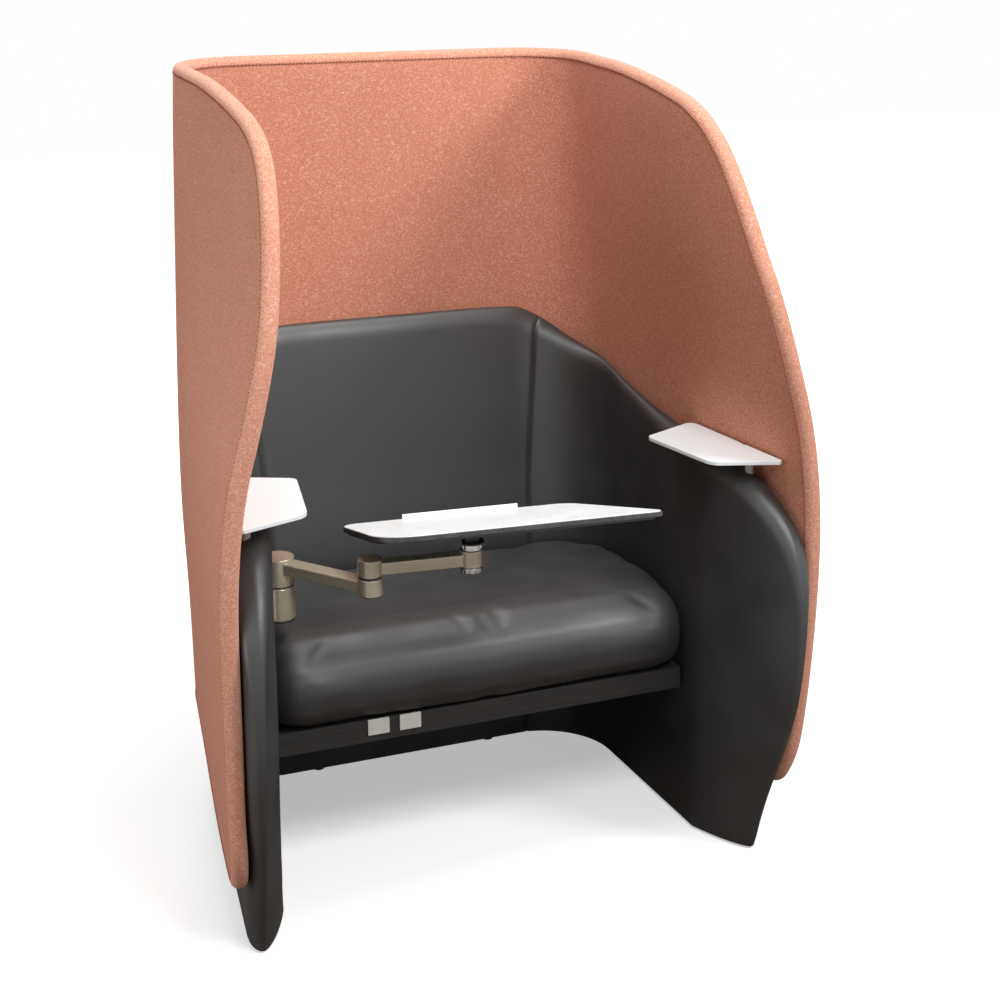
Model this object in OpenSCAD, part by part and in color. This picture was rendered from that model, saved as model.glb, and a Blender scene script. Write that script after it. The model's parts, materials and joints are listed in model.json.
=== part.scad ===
// Acoustic high back lounge chair with a swing-arm tablet and two side trays.
// Lengths are in millimetres, +Z is up and the sitter faces -Y.
// The origin is the middle of the chair's outline, on the floor.

/* [Overall] */
// Height of the screen above the floor
overall_h = 1350; // [1250:10:1450]
// Width over the screen at its widest
overall_w = 1026; // [1000:2:1060]
// Depth from the arm noses to the top of the screen's back
overall_d = 870; // [850:5:900]

/* [Screen] */
// Thickness of each felt layer
felt_t = 6.8; // [5:0.2:8]
// Thickness of the moulded core
core_t = 12; // [9:0.5:14]
// Clearance between the layers of the screen
layer_gap = 0.2; // [0.1:0.05:0.3]
// Outer radius of the screen's two back corners
corner_r = 140; // [130:2:150]
// Depth of the rounded band along the screen's edge
band_r = 12; // [8:1:16]
// Diameter of the bolts that hold the screen to the tub
bolt_d = 6; // [5:0.5:8]
// Height of the lower row of screen bolts
bolt_low_z = 330; // [280:5:400]
// Height of the upper row of screen bolts in the back
bolt_back_z = 660; // [560:5:720]
// Distance of the back bolts from the middle
bolt_back_x = 180; // [120:5:220]

/* [Tub] */
// Thickness of each side with the screen beside it, at the tub's back corners
side_w = 133; // [128:1:140]
// Thickness of each side with the screen beside it, at the tub's front
front_side_w = 123; // [118:1:128]
// Inner radius of the tub's back corners
tub_inner_r = 140; // [130:2:150]
// Clearance between the tub and the screen
tub_gap = 2; // [1:0.5:3]
// Height of the tub's back
tub_back_h = 880; // [850:5:910]
// Height of the rounded roll along the tub's top edge
roll_h = 32; // [24:1:40]
// Depth of the place where the inner face of each side starts to turn outwards
nose_start_y = 210; // [190:5:230]
// Length of the rounding at the outer edge of each nose
nose_round_l = 60; // [40:5:80]
// Thickness of the side boards and the bent corners
board_t = 10; // [8:0.5:11]
// Thickness of the back board
back_board_t = 15; // [12:1:18]
// Radius of the bent corner boards at mid thickness
bend_r = 138; // [134:1:140]
// Height of the bent corner boards
bend_h = 560; // [480:10:575]
// Foam in front of the side boards
board_margin = 45; // [40:1:55]
// Foam above the boards
board_drop = 38; // [34:1:46]
// Clearance round the boards in the padding
pocket_gap = 0.3; // [0.2:0.1:0.5]
// Height of the glides under the boards
glide_h = 5; // [4:0.5:8]
// Diameter of the glides
glide_d = 22; // [16:1:26]
// Length of the glide's stem in the board
glide_stem_l = 16; // [10:1:24]
// Diameter of the glide's stem
glide_stem_d = 5; // [4:0.5:6]

/* [Seat] */
// Height of the seat's crown above the floor
seat_h = 455; // [440:1:470]
// Thickness of the seat board
seat_board_t = 15; // [12:1:18]
// Height of the seat board's underside
seat_board_z = 290; // [270:1:300]
// Distance from the front of the noses to the seat's front
seat_setback = 233; // [200:1:260]
// Distance from the seat's front to the seat board's front edge
seat_board_inset = 42; // [36:1:60]
// Corner radius of the seat's front in plan
seat_corner_r = 55; // [45:5:70]
// Clearance between the seat cushion and the tub
seat_gap = 0.8; // [0.5:0.1:1.2]
// Width and height of the cleats that carry the seat board
cleat_w = 26; // [20:1:32]
// Distance between the side cleats and the start of the tub's back corners
cleat_back_gap = 10; // [5:1:40]
// Diameter of the seat screws
seat_screw_d = 5; // [4:0.5:6]
// Thickness of the pale clips under the seat's front edge
clip_t = 2.5; // [2:0.1:4]

/* [Trays] */
// Height of the trays' top faces above the arm rests
tray_rise = 35; // [30:1:50]
// Thickness of the trays
tray_t = 6; // [4:0.5:8]
// Corner radius of the trays
tray_r = 14; // [8:1:20]
// Length of a tray along the side, at its outer edge
tray_l = 268; // [240:2:290]
// Width of a tray across the arm rest
tray_w = 116; // [100:2:124]
// Diameter of the tray posts
post_d = 14; // [10:0.5:16]
// Thickness of the plate between the posts and the tray
tray_plate_t = 3; // [2:0.5:4]
// Diameter of the post's spigot in the board
spigot_d = 5; // [4:0.5:6]
// Depth of the post's spigot in the board
spigot_l = 30; // [20:1:40]

/* [Arm base] */
// Distance of the base pivot from the tub's side
base_inset = 22; // [20:1:25]
// Distance of the base pivot in front of the origin
base_y = 150; // [140:1:170]
// Height of the top of the base hub
hub_top_z = 617; // [610:1:630]
// Diameter of the base hub
hub_d = 52; // [46:1:54]
// Height of the base hub
hub_h = 46; // [40:1:50]
// Diameter of the base socket
socket_d = 50; // [44:1:52]
// Height of the base socket
socket_h = 56; // [50:1:62]
// Height of the gap between hub and socket, filled by the thrust washer
base_gap = 2.5; // [2:0.1:4]
// Diameter of the base pin
base_pin_d = 20; // [16:1:24]
// Radial clearance of the running fits
running_gap = 0.05; // [0.02:0.01:0.1]
// Wall of the plain bushes
bush_t = 2; // [1.5:0.1:3]
// Thickness of the wall plate
plate_t = 5; // [4:0.5:6]
// Width of the wall plate
plate_w = 64; // [56:1:72]
// Height of the wall plate
plate_h = 54; // [50:1:56]
// Diameter of the wall plate's screws
plate_screw_d = 5; // [4:0.5:6]

/* [Arms] */
// Distance between the pivots of the lower arm
lower_arm_l = 179; // [170:1:190]
// Width of the lower arm's bar
lower_bar_w = 30; // [24:1:34]
// Thickness of the lower arm's bar
lower_bar_t = 19; // [16:1:22]
// Distance between the pivots of the upper arm
upper_arm_l = 164; // [158:1:180]
// Width of the upper arm's bar
upper_bar_w = 24; // [20:1:28]
// Thickness of the upper arm's bar
upper_bar_t = 21; // [18:1:24]
// Diameter of the elbow hubs and of the end hub
elbow_d = 40; // [36:1:44]
// Height of each elbow hub
elbow_h = 28; // [26:1:30]
// Height of the dark gap between the elbow hubs
elbow_gap = 4; // [3.6:0.1:5]
// Diameter of the elbow pin
elbow_pin_d = 12; // [10:0.5:14]
// Direction of the lower arm in plan at rest, in degrees from +X
lower_angle = -52.7; // [-60:0.1:-45]
// Direction of the upper arm in plan at rest, in degrees from +X
upper_angle = -6; // [-12:0.5:0]

/* [Tablet head] */
// Diameter of the head spindle
spindle_d = 14; // [12:0.5:16]
// Diameter of the chromed clutch rings
ring_d = 38.5; // [34:0.5:40]
// Height of the upper clutch ring
upper_ring_h = 9; // [7:0.5:11]
// Height of the lower clutch ring
lower_ring_h = 8; // [6:0.5:9]
// Depth of the notches in the clutch rings
notch_depth = 1.6; // [1:0.1:2.5]
// Thickness of the friction washers
friction_t = 0.8; // [0.5:0.1:1.5]
// Height of the tilt axis above the end hub
tilt_axis_h = 21.5; // [20:0.5:24]
// Diameter of the tilt pin
tilt_pin_d = 7; // [6:0.5:8]
// Width of the head's lug
lug_w = 24; // [20:1:28]
// Width of each ear of the tablet bracket
ear_w = 4; // [3:0.5:6]

/* [Tablet] */
// Length of the tablet's user edge
tablet_back_l = 387; // [360:1:400]
// Length of the tablet's far edge
tablet_front_l = 465; // [440:1:480]
// Depth of the tablet
tablet_depth = 201; // [180:1:220]
// Thickness of the tablet's black core
tablet_t = 11; // [8:0.5:13]
// Thickness of the white top layer
top_t = 1.4; // [1:0.1:2]
// Height of the bevel round the tablet's underside
bevel_h = 4; // [2:0.5:5]
// Width of the bevel round the tablet's underside
bevel_w = 5; // [3:0.5:8]
// Length of the ledge on the user edge
ledge_l = 195; // [160:1:220]
// Height of the ledge above the tablet's top
ledge_h = 7.5; // [5:0.5:10]
// Thickness of the ledge
ledge_t = 3; // [2:0.5:4]
// Tilt of the tablet towards the sitter at rest, in degrees
tablet_tilt = 12; // [10:0.5:14]
// Direction of the tablet's long side in plan at rest, in degrees from +X
tablet_angle = -5; // [-8:0.5:0]
// Thickness of the bracket plate under the tablet
bracket_t = 3; // [2:0.5:4]

/* [Hidden] */

// Facets of the small round parts
$fn = 48;
// Overrun that carries a cut past a face
over = 1;
// Small step that keeps neighbouring pieces of one body apart
seat_step = 0.3;

screen_t = 2 * felt_t + core_t + 2 * layer_gap;
tub_offset = screen_t + tub_gap;
half_w = overall_w / 2;
tub_inner_half = half_w - side_w;
tub_front_half = half_w - front_side_w;
front_reach = overall_d / 2;

// The screen's outer face at its front edge: height against half width, as shares
front_width_shares = [[0, 0.972], [0.1, 0.981], [0.185, 0.996], [0.3, 1], [0.41, 1], [0.47, 0.996],
    [0.54, 0.979], [0.603, 0.949], [0.66, 0.906], [0.77, 0.829], [0.85, 0.787], [0.9, 0.765],
    [0.95, 0.744], [1, 0.737]];
// The screen's front edge: height against reach forward of the origin, as shares
front_reach_shares = [[0, 0.36], [0.1015, 0.392], [0.15, 0.424], [0.2, 0.436], [0.3, 0.449],
    [0.4, 0.453], [0.5, 0.45], [0.6, 0.444], [0.66, 0.4425], [1, 0.4425]];
// Half width of the screen where its sides meet the corners: height against width, as shares
corner_width_shares = [[0, 0.834], [0.3, 0.834], [0.45, 0.838], [0.6, 0.823], [0.75, 0.799],
    [0.9, 0.772], [1, 0.75]];
// The screen's back leans: height against distance behind the origin, as shares
back_lean_shares = [[0, 0.376], [0.3, 0.386], [0.6, 0.421], [0.8, 0.457], [0.9912, 0.5]];
// The screen's top edge: path station against height. Stations run 0 to 1 along half of the
// back, 1 to 2 round a corner and 2 to 3 along a side to the front.
screen_top_shares = [[0, 1], [1, 1], [2, 1], [2.12, 0.9985], [2.25, 0.9965], [2.37, 0.991],
    [2.487, 0.984], [2.56, 0.978], [2.634, 0.971], [2.73, 0.951], [2.797, 0.923], [2.847, 0.889],
    [2.89, 0.852], [2.924, 0.815], [2.964, 0.772], [2.988, 0.7185], [3, 0.659]];
// The screen's bottom edge: path station against height, as shares
screen_foot_shares = [[0, 0.175], [1, 0.174], [2, 0.158], [2.25, 0.138], [2.46, 0.115],
    [2.66, 0.1], [2.86, 0.096], [3, 0.0985]];
// Rows of the screen's mesh between its bottom and top edges
screen_row_shares = [0, 0.03, 0.08, 0.16, 0.27, 0.4, 0.53, 0.66, 0.78, 0.9, 1];
// Stations of the screen's mesh from the middle of the back to the front
screen_stations_share = concat([0, 0.34, 0.68, 1, 1.2, 1.4, 1.6, 1.8],
    [for (row = screen_top_shares) if (row[0] >= 2) row[0]]);

// The tub's back face inside: height against distance behind the origin, as shares
tub_back_shares = [[0, 0.303], [0.3, 0.293], [0.46, 0.288], [0.68, 0.313], [0.97, 0.347], [1, 0.35]];
// The tub's top edge: path station against height, as shares of the back's height
tub_top_shares = [[0, 1], [0.8, 0.9965], [1, 0.98], [1.5, 0.925], [2, 0.892], [2.086, 0.874],
    [2.306, 0.8375], [2.478, 0.815], [2.674, 0.7955], [2.768, 0.781], [2.846, 0.758],
    [2.901, 0.731], [2.945, 0.69], [2.973, 0.627], [2.9875, 0.568], [2.997, 0.5], [3, 0.41]];
// The tub's nose: height against reach forward, as shares
tub_reach_shares = [[0, 0.366], [0.033, 0.381], [0.07, 0.399], [0.153, 0.434], [0.284, 0.47],
    [0.36, 0.491], [0.41, 0.5], [1, 0.5]];
// Rows of the tub's mesh below its roll
tub_row_shares = [0, 0.12, 0.28, 0.45, 0.62, 0.81, 1];
// Stations of the side pads between the back seam and the nose
pad_stations_share = [1.3, 1.5, 1.7, 1.88, 2.04, 2.2, 2.4, 2.6, 2.74, 2.84, 2.9, 2.945, 2.973,
    2.9875, 2.997, 3];
// Place of the nose's tip between the inner face and the outer face
tip_share = 0.74;
// Part of the nose's run that is built before its end is closed
nose_end_share = 0.99;
// Power of the taper from the inner face to the tip
taper_share = 0.85;
// Path station of the seam between the back pad and a side pad
seam_share = 1.08;
// Gap between the pads at that seam, as a part of a station
seam_gap_share = 0.003;
// Half of the roll's arc, in steps
roll_steps = 3;

// Linear mix of two values or points
function mix(a, b, t) = a + (b - a) * t;

// Segment of a table of [place, value] rows that holds place x
function segment(table, x, i = 0) =
    i >= len(table) - 2 || x < table[i + 1][0] ? i : segment(table, x, i + 1);

// Slope of the smooth curve through a table at row i
function slope(table, i) =
    let (a = max(i - 1, 0), b = min(i + 1, len(table) - 1))
    (table[b][1] - table[a][1]) / (table[b][0] - table[a][0]);

// Smooth curve through the rows of a table
function smooth(table, x) =
    let (i = segment(table, x),
        h = table[i + 1][0] - table[i][0],
        s = max(0, min(1, (x - table[i][0]) / h)),
        p0 = table[i][1],
        p1 = table[i + 1][1],
        m0 = slope(table, i) * h,
        m1 = slope(table, i + 1) * h)
    p0 * (1 + 2 * s) * pow(1 - s, 2) + m0 * s * pow(1 - s, 2)
        + p1 * s * s * (3 - 2 * s) + m1 * s * s * (s - 1);

// The screen's outer face in plan at height z
function front_x(z) = half_w * smooth(front_width_shares, z / overall_h);
function front_y(z) = -overall_d * smooth(front_reach_shares, z / overall_h);
function corner_x(z) = half_w * smooth(corner_width_shares, z / overall_h);
function back_y(z) = overall_d * smooth(back_lean_shares, z / overall_h);
function corner_centre(z) = [corner_x(z) - corner_r, back_y(z) - corner_r];
function side_slant(z) = atan2(front_x(z) - corner_x(z), corner_centre(z)[1] - front_y(z));

// Unit vector in plan at an angle
function heading(a) = [cos(a), sin(a)];

// Half width of the screen's outer face on its side line, at depth y and height z
function side_x(y, z) =
    let (a = corner_centre(z) + corner_r * heading(side_slant(z)))
    mix(a[0], front_x(z), (a[1] - y) / (a[1] - front_y(z)));

// Point on the right half of the screen's plan, moved inwards, for a side that ends at y_end
function outer_plan(u, z, inset, y_end) =
    let (c = corner_centre(z), a = side_slant(z), start = c + (corner_r - inset) * heading(a))
    u <= 1 ? [u * c[0], back_y(z) - inset] :
    u <= 2 ? c + (corner_r - inset) * heading(mix(90, a, u - 1)) :
    let (y = mix(start[1], y_end, u - 2))
    [side_x(y + inset * sin(a), z) - inset * cos(a), y];

// Point on the right half of the tub's inner face in plan
function tub_y_end(z) = -overall_d * smooth(tub_reach_shares, z / tub_back_h);
function inner_back_y(z) = overall_d * smooth(tub_back_shares, z / tub_back_h);
function inner_plan(u, z) =
    let (c = [tub_inner_half - tub_inner_r, inner_back_y(z) - tub_inner_r])
    u <= 1 ? [u * c[0], inner_back_y(z)] :
    u <= 2 ? c + tub_inner_r * heading(90 * (2 - u)) :
    [mix(tub_inner_half, tub_front_half, u - 2), mix(c[1], tub_y_end(z), u - 2)];

// Half width of the tub's inner face at depth y, on its side line
function inner_side_x(y, z) =
    let (back = inner_back_y(z) - tub_inner_r)
    mix(tub_inner_half, tub_front_half, (back - y) / (back - tub_y_end(z)));

// Heights of the edges at a path station
function screen_top(u) = overall_h * smooth(screen_top_shares, abs(u));
function screen_foot(u) = overall_h * smooth(screen_foot_shares, abs(u));
function tub_top(u) = tub_back_h * smooth(tub_top_shares, abs(u));

// Point in space of the screen, on the layer at depth inset, drawn back by edge from its rim
function screen_point(u, t, inset, edge) =
    let (z = mix(screen_foot(u) + edge, screen_top(u) - edge, t),
        y_end = front_y(z) + edge + (screen_t / 2 - inset) * sin(side_slant(z)),
        p = outer_plan(abs(u), z, inset, y_end))
    [sign(u) * p[0], p[1], z];

// Stations from the left front round the back to the right front
screen_stations = concat([for (i = [len(screen_stations_share) - 1:-1:1]) -screen_stations_share[i]],
    screen_stations_share);

// Faces of a closed tube of rings, every ring with n points, both ends shut as a ladder.
// A ring runs up one side and back down the other, so that point k faces point n - 1 - k.
// The diagonals on the two sides lie over each other, so that layers stay the same distance apart.
function tube_faces(rings, n) = concat(
    [for (i = [0:rings - 2], k = [0:n - 1], half = [0, 1])
        let (a = i * n + k, b = (i + 1) * n + k, c = (i + 1) * n + (k + 1) % n, d = i * n + (k + 1) % n)
        k < n / 2 ? (half == 0 ? [a, b, c] : [a, c, d]) : (half == 0 ? [a, b, d] : [b, c, d])],
    ladder(0, n, false),
    ladder((rings - 1) * n, n, true));
function ladder(base, n, flip) =
    [for (k = [0:floor(n / 2) - 1], upper = [0, 1])
        let (a = base + k, b = base + k + 1, c = base + n - 1 - k, d = base + n - 2 - k,
            face = upper == 0 ? [a, b, c] : [b, d, c])
        if (face[0] != face[1] && face[1] != face[2]) flip ? [face[2], face[1], face[0]] : face];

// One layer of the screen: a thin sheet between two insets
module screen_sheet(inset_outer, inset_inner) {
    n = 2 * len(screen_row_shares);
    points = [for (u = screen_stations)
        for (side = [0, 1], i = [0:len(screen_row_shares) - 1])
            let (k = side == 0 ? i : len(screen_row_shares) - 1 - i)
            screen_point(u, screen_row_shares[k], side == 0 ? inset_outer : inset_inner, band_r)];
    polyhedron(points, tube_faces(len(screen_stations), n), convexity = 10);
}

// The loop of the screen's rim on its middle layer: top, right front, foot and left front
last_row = len(screen_row_shares) - 1;
rim_path = concat(
    [for (u = screen_stations) screen_point(u, 1, screen_t / 2, band_r)],
    [for (i = [1:last_row]) screen_point(3, screen_row_shares[last_row - i], screen_t / 2, band_r)],
    [for (i = [1:len(screen_stations) - 1])
        screen_point(screen_stations[len(screen_stations) - 1 - i], 0, screen_t / 2, band_r)],
    [for (i = [1:last_row - 1]) screen_point(-3, screen_row_shares[i], screen_t / 2, band_r)]);
// Direction out of the screen's outer face at the same points
rim_station = concat(screen_stations, [for (i = [1:last_row]) 3],
    [for (i = [1:len(screen_stations) - 1]) screen_stations[len(screen_stations) - 1 - i]],
    [for (i = [1:last_row - 1]) -3]);
function rim_normal(u, z) =
    let (a = abs(u) <= 1 ? 90 : abs(u) <= 2 ? mix(90, side_slant(z), abs(u) - 1) : side_slant(z))
    [(u < 0 ? -1 : 1) * cos(a), sin(a), 0];
function unit(v) = v / norm(v);
// Rounded section of the band, in steps from the outer face to the inner face
band_steps = 5;

// Point k of the band's section at rim point i
function band_point(i, k) =
    let (n = len(rim_path),
        tangent = unit(rim_path[(i + 1) % n] - rim_path[(i + n - 1) % n]),
        normal = rim_normal(rim_station[i], rim_path[i][2]),
        outward = unit(cross(tangent, normal)),
        a = mix(90, -90, k / band_steps))
    rim_path[i] + outward * (seat_step + band_r * cos(a)) + normal * screen_t / 2 * sin(a);

module screen_core() {
    color("#8d8070") difference() {
        screen_sheet(felt_t + layer_gap, felt_t + layer_gap + core_t);
        all_screen_bolts(pocket_gap);
    }
}

module screen_inner_felt() {
    color("#d98b6d") difference() {
        screen_sheet(screen_t - felt_t, screen_t);
        all_screen_bolts(pocket_gap);
    }
}

module screen_outer_felt() {
    color("#b8806c") screen_sheet(0, felt_t);
}

module screen_edge_band() {
    n = len(rim_path);
    m = band_steps + 1;
    points = [for (i = [0:n - 1], k = [0:band_steps]) band_point(i, k)];
    faces = concat(
        [for (i = [0:n - 1], k = [0:band_steps])
            let (j = (i + 1) % n) [i * m + k, j * m + (k + 1) % m, i * m + (k + 1) % m]],
        [for (i = [0:n - 1], k = [0:band_steps])
            let (j = (i + 1) % n) [i * m + k, j * m + k, j * m + (k + 1) % m]]);
    color("#d28668") polyhedron(points, faces, convexity = 10);
}

// Width left of the wall at depth y of a nose, from 1 to almost nothing
function inner_nose_width(y, z) =
    let (run = (-nose_start_y - y) / (-nose_start_y - tub_y_end(z)))
    run <= 0 ? 1 : pow(1 - run * nose_end_share, taper_share);
function outer_nose_width(y, z) =
    let (run = 1 - (y - tub_y_end(z)) / nose_round_l)
    run <= 0 ? 1 : sqrt(1 - pow(run * nose_end_share, 2));

// Point of the tub's wall in plan, from the inner face at d = 0 to the outer face at d = 1
function wall_plan(u, z, d) =
    let (p = inner_plan(u, z),
        q = outer_plan(u, z, tub_offset, tub_y_end(z)),
        tip = mix(p, q, tip_share),
        w = d < tip_share ? inner_nose_width(p[1], z) : outer_nose_width(q[1], z),
        e = d < tip_share ? mix(p, tip, d / tip_share) : mix(tip, q, (d - tip_share) / (1 - tip_share)))
    u <= 2 ? e : mix(tip, e, w);

// Point of the tub's wall in space, on either side
function wall_point(u, z, d) =
    let (p = wall_plan(abs(u), z, d)) [(u < 0 ? -1 : 1) * p[0], p[1], z];

// The side boards stand in the tub's wall between these two stations
board_back_share = 2.05;
board_front_share = 2.72;
// Heights where the wall's plan is taken at these stations, and place in its thickness in front
board_back_z_share = 0.8;
board_front_z_share = 0.45;
board_depth_share = 0.6;
board_middle_share = 0.5;
board_back_z = tub_back_h * board_back_z_share;
board_front_z = tub_back_h * board_front_z_share;
board_back = wall_plan(board_back_share, board_back_z, board_middle_share);
board_front = wall_plan(board_front_share, board_front_z, board_depth_share);
board_turn = atan2(board_front[1] - board_back[1], board_front[0] - board_back[0]);
// Half width of the side board's middle plane at depth y
function board_x(y) =
    mix(board_back[0], board_front[0], (board_back[1] - y) / (board_back[1] - board_front[1]));
// Distance along the board of a point at depth y
function along(y) = (board_back[1] - y) / -sin(board_turn);
// Depth of a station on the tub's top edge
function station_y(u) =
    let (start = outer_plan(2, tub_top(u), tub_offset, -front_reach)[1])
    mix(start, -front_reach, u - 2);
// Heights and stations of the side board's outline
board_nose_shares = [0, 0.08, 0.153, 0.284, 0.41, 0.5];
board_top_stations_share = [2.87, 2.8, 2.65, 2.45, 2.3];

// A side board, grown by a clearance, standing in the right side
module side_board_shape(grow) {
    outline = concat(
        [[-grow, grow > 0 ? -over : glide_h]],
        [for (s = board_nose_shares)
            let (z = s * tub_back_h)
            [along(tub_y_end(z) + board_margin - grow), s > 0 ? z : grow > 0 ? -over : glide_h]],
        [for (u = board_top_stations_share)
            [along(station_y(u)), tub_top(u) - board_drop + grow]],
        [[-grow, bend_h + grow]]);
    t = board_t + 2 * grow;
    translate([board_back[0], board_back[1], 0]) rotate([0, 0, board_turn]) rotate([90, 0, 0])
        translate([0, 0, -t / 2]) linear_extrude(t) polygon(outline);
}

// A bent corner board, grown by a clearance, from the side board's end to the back
bend_start = board_turn + 90;
bend_centre = board_back - bend_r * heading(bend_start);
// Turn between a bent corner's ends and the boards beside it, in degrees
bend_step_share = 0.2;
module bend_shape(grow) {
    low = grow > 0 ? -over : glide_h;
    start = bend_start + (grow > 0 ? -1 : 1) * bend_step_share;
    end = 90 + (grow > 0 ? bend_step_share : 0);
    translate([bend_centre[0], bend_centre[1], 0]) rotate([0, 0, start])
        rotate_extrude(angle = end - start)
            translate([bend_r - board_t / 2 - grow, low])
                square([board_t + 2 * grow, bend_h + grow - low]);
}

// The back board leans with the wall's middle between two heights
back_low_share = 0.1;
back_high_share = 0.85;
function back_middle_y(z) = (inner_back_y(z) + back_y(z) - tub_offset) / 2;
back_low_y = back_middle_y(back_low_share * tub_back_h);
back_high_y = back_middle_y(back_high_share * tub_back_h);
back_lean = atan2(back_high_y - back_low_y, (back_high_share - back_low_share) * tub_back_h);
function back_board_y(z) = back_low_y + (z - back_low_share * tub_back_h) * tan(back_lean);
back_board_half = bend_centre[0] - seat_step;
back_board_top = tub_top(1) - board_drop;
module back_board_shape(grow) {
    low = grow > 0 ? -over : glide_h;
    half_t = (back_board_t / 2 + grow) / cos(back_lean);
    y_low = back_board_y(low);
    y_high = back_board_y(back_board_top + grow);
    translate([-back_board_half - grow, 0, 0]) rotate([90, 0, 90])
        linear_extrude(2 * (back_board_half + grow))
            polygon([[y_low - half_t, low], [y_low + half_t, low],
                [y_high + half_t, back_board_top + grow], [y_high - half_t, back_board_top + grow]]);
}

// Places of the glides: depths along the sides, and half width under the back
glide_side_share = [0.12, 0.62];
glide_back_share = 0.7;
side_run = board_back[1] - (tub_y_end(0) + board_margin);
glide_side_y = [for (s = glide_side_share) board_back[1] - s * side_run];
glide_front_y = tub_y_end(0) + board_margin + glide_d;
module at_glides() {
    for (y = concat(glide_side_y, [glide_front_y]), side = [-1, 1])
        translate([side * board_x(y), y, 0]) children();
    for (side = [-1, 1])
        translate([side * glide_back_share * back_board_half, back_board_y(glide_h + glide_stem_l / 2), 0])
            children();
}

module glide_stems(grow) {
    at_glides() translate([0, 0, glide_h - over * (grow > 0 ? 1 : 0)])
        cylinder(h = glide_stem_l + grow + over * (grow > 0 ? 1 : 0), d = glide_stem_d + 2 * grow);
}

module glides() {
    color("#2b2b2d") {
        at_glides() cylinder(h = glide_h, d = glide_d);
        glide_stems(0);
    }
}

// Screen bolts: through a board into the screen's core
bolt_head_d = 2 * bolt_d;
bolt_head_h = bolt_d / 2;
bolt_side_share = [0.28, 0.8];
bolt_side_y = [for (s = bolt_side_share) mix(board_back[1], board_front[1], s)];
bolt_bite = core_t / 2;
// The board's face is at a slant to the bolt, so the head stands off by this much
bolt_stand_off = bolt_head_d * abs(cos(board_turn)) + seat_step;
module bolt_shape(length, grow) {
    cylinder(h = bolt_head_h + grow, d = bolt_head_d + 2 * grow);
    cylinder(h = length + grow, d = bolt_d + 2 * grow);
}
module side_bolt(y, z, grow) {
    x0 = board_x(y) - board_t / 2 - bolt_stand_off - bolt_head_h;
    x1 = side_x(y, z) - screen_t / 2 - core_t / 2 + bolt_bite;
    translate([x0, y, z]) rotate([0, 90, 0]) translate([0, 0, -grow]) bolt_shape(x1 - x0 + grow, grow);
}
module back_bolt(x, z, grow) {
    y0 = back_board_y(z) - back_board_t / 2 - bolt_head_h - bolt_head_d * tan(back_lean) - seat_step;
    y1 = back_y(z) - screen_t / 2 - core_t / 2 + bolt_bite;
    translate([x, y0, z]) rotate([-90, 0, 0]) translate([0, 0, -grow]) bolt_shape(y1 - y0 + grow, grow);
}
module all_screen_bolts(grow) {
    for (side = [0, 1], y = bolt_side_y)
        mirror([side, 0, 0]) side_bolt(y, bolt_low_z, grow);
    for (side = [-1, 1], z = [bolt_low_z, bolt_back_z])
        back_bolt(side * bolt_back_x, z, grow);
}

module screen_bolts() {
    color("#9a9ca0") all_screen_bolts(0);
}

module side_board() {
    difference() {
        side_board_shape(0);
        all_screen_bolts(pocket_gap);
        glide_stems(pocket_gap);
        post_spigots(pocket_gap);
    }
}
module side_board_right() {
    color("#c9a878") side_board();
}
module side_board_left() {
    color("#c9a878") difference() {
        mirror([1, 0, 0]) side_board();
        wall_screw_shapes(pocket_gap);
    }
}
module back_board() {
    color("#c9a878") difference() {
        back_board_shape(0);
        all_screen_bolts(pocket_gap);
        glide_stems(pocket_gap);
    }
}
module bent_corners() {
    color("#bf9c6b") {
        bend_shape(0);
        mirror([1, 0, 0]) bend_shape(0);
    }
}

// Ring of a pad at a station: up the inner face, over the roll, down the outer face
function pad_ring(u) =
    let (top = tub_top(u), low = glide_h, high = top - roll_h)
    concat(
        [for (s = tub_row_shares) wall_point(u, mix(low, high, s), 0)],
        [for (i = [1:2 * roll_steps - 1])
            let (a = 180 * i / (2 * roll_steps))
            wall_point(u, high + roll_h * sin(a), (1 - cos(a)) / 2)],
        [for (i = [len(tub_row_shares) - 1:-1:0]) wall_point(u, mix(low, high, tub_row_shares[i]), 1)]);

module pad_solid(stations) {
    rings = [for (u = stations) pad_ring(u)];
    n = len(rings[0]);
    polyhedron([for (ring = rings) each ring], pad_faces(len(rings), n), convexity = 10);
}
// The same tube with its faces turned, for rings that run from the inner face outwards
function pad_faces(rings, n) = [for (f = tube_faces(rings, n)) [f[2], f[1], f[0]]];

// Everything that sits inside the padding
module pad_pockets() {
    for (side = [0, 1]) mirror([side, 0, 0]) {
        side_board_shape(pocket_gap);
        bend_shape(2 * pocket_gap);
    }
    back_board_shape(pocket_gap);
    all_screen_bolts(pocket_gap);
}

side_stations = concat([seam_share + seam_gap_share], pad_stations_share);
module side_pad_right() {
    color("#3a3a3b") difference() {
        pad_solid(side_stations);
        pad_pockets();
        post_holes();
    }
}
module side_pad_left() {
    color("#3a3a3b") difference() {
        pad_solid([for (i = [len(side_stations) - 1:-1:0]) -side_stations[i]]);
        pad_pockets();
        post_holes();
        wall_spacer_shapes(pocket_gap);
        wall_screw_shapes(pocket_gap);
    }
}
back_stations_share = [-1.08, -1, -0.8, -0.4, 0, 0.4, 0.8, 1, 1.08];
module back_pad() {
    color("#333334") difference() {
        pad_solid(back_stations_share);
        pad_pockets();
    }
}

// Seat: the cushion's side view from its nose to its back, length against height
seat_nose_y = -front_reach + seat_setback;
// The tub's back is furthest forward somewhere between the seat board and the seat's crown
seat_rear_steps = 12;
seat_rear = min([for (i = [0:seat_rear_steps])
    inner_back_y(mix(seat_board_z, seat_h, i / seat_rear_steps))]);
seat_back_y = seat_rear - seat_gap;
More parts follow.
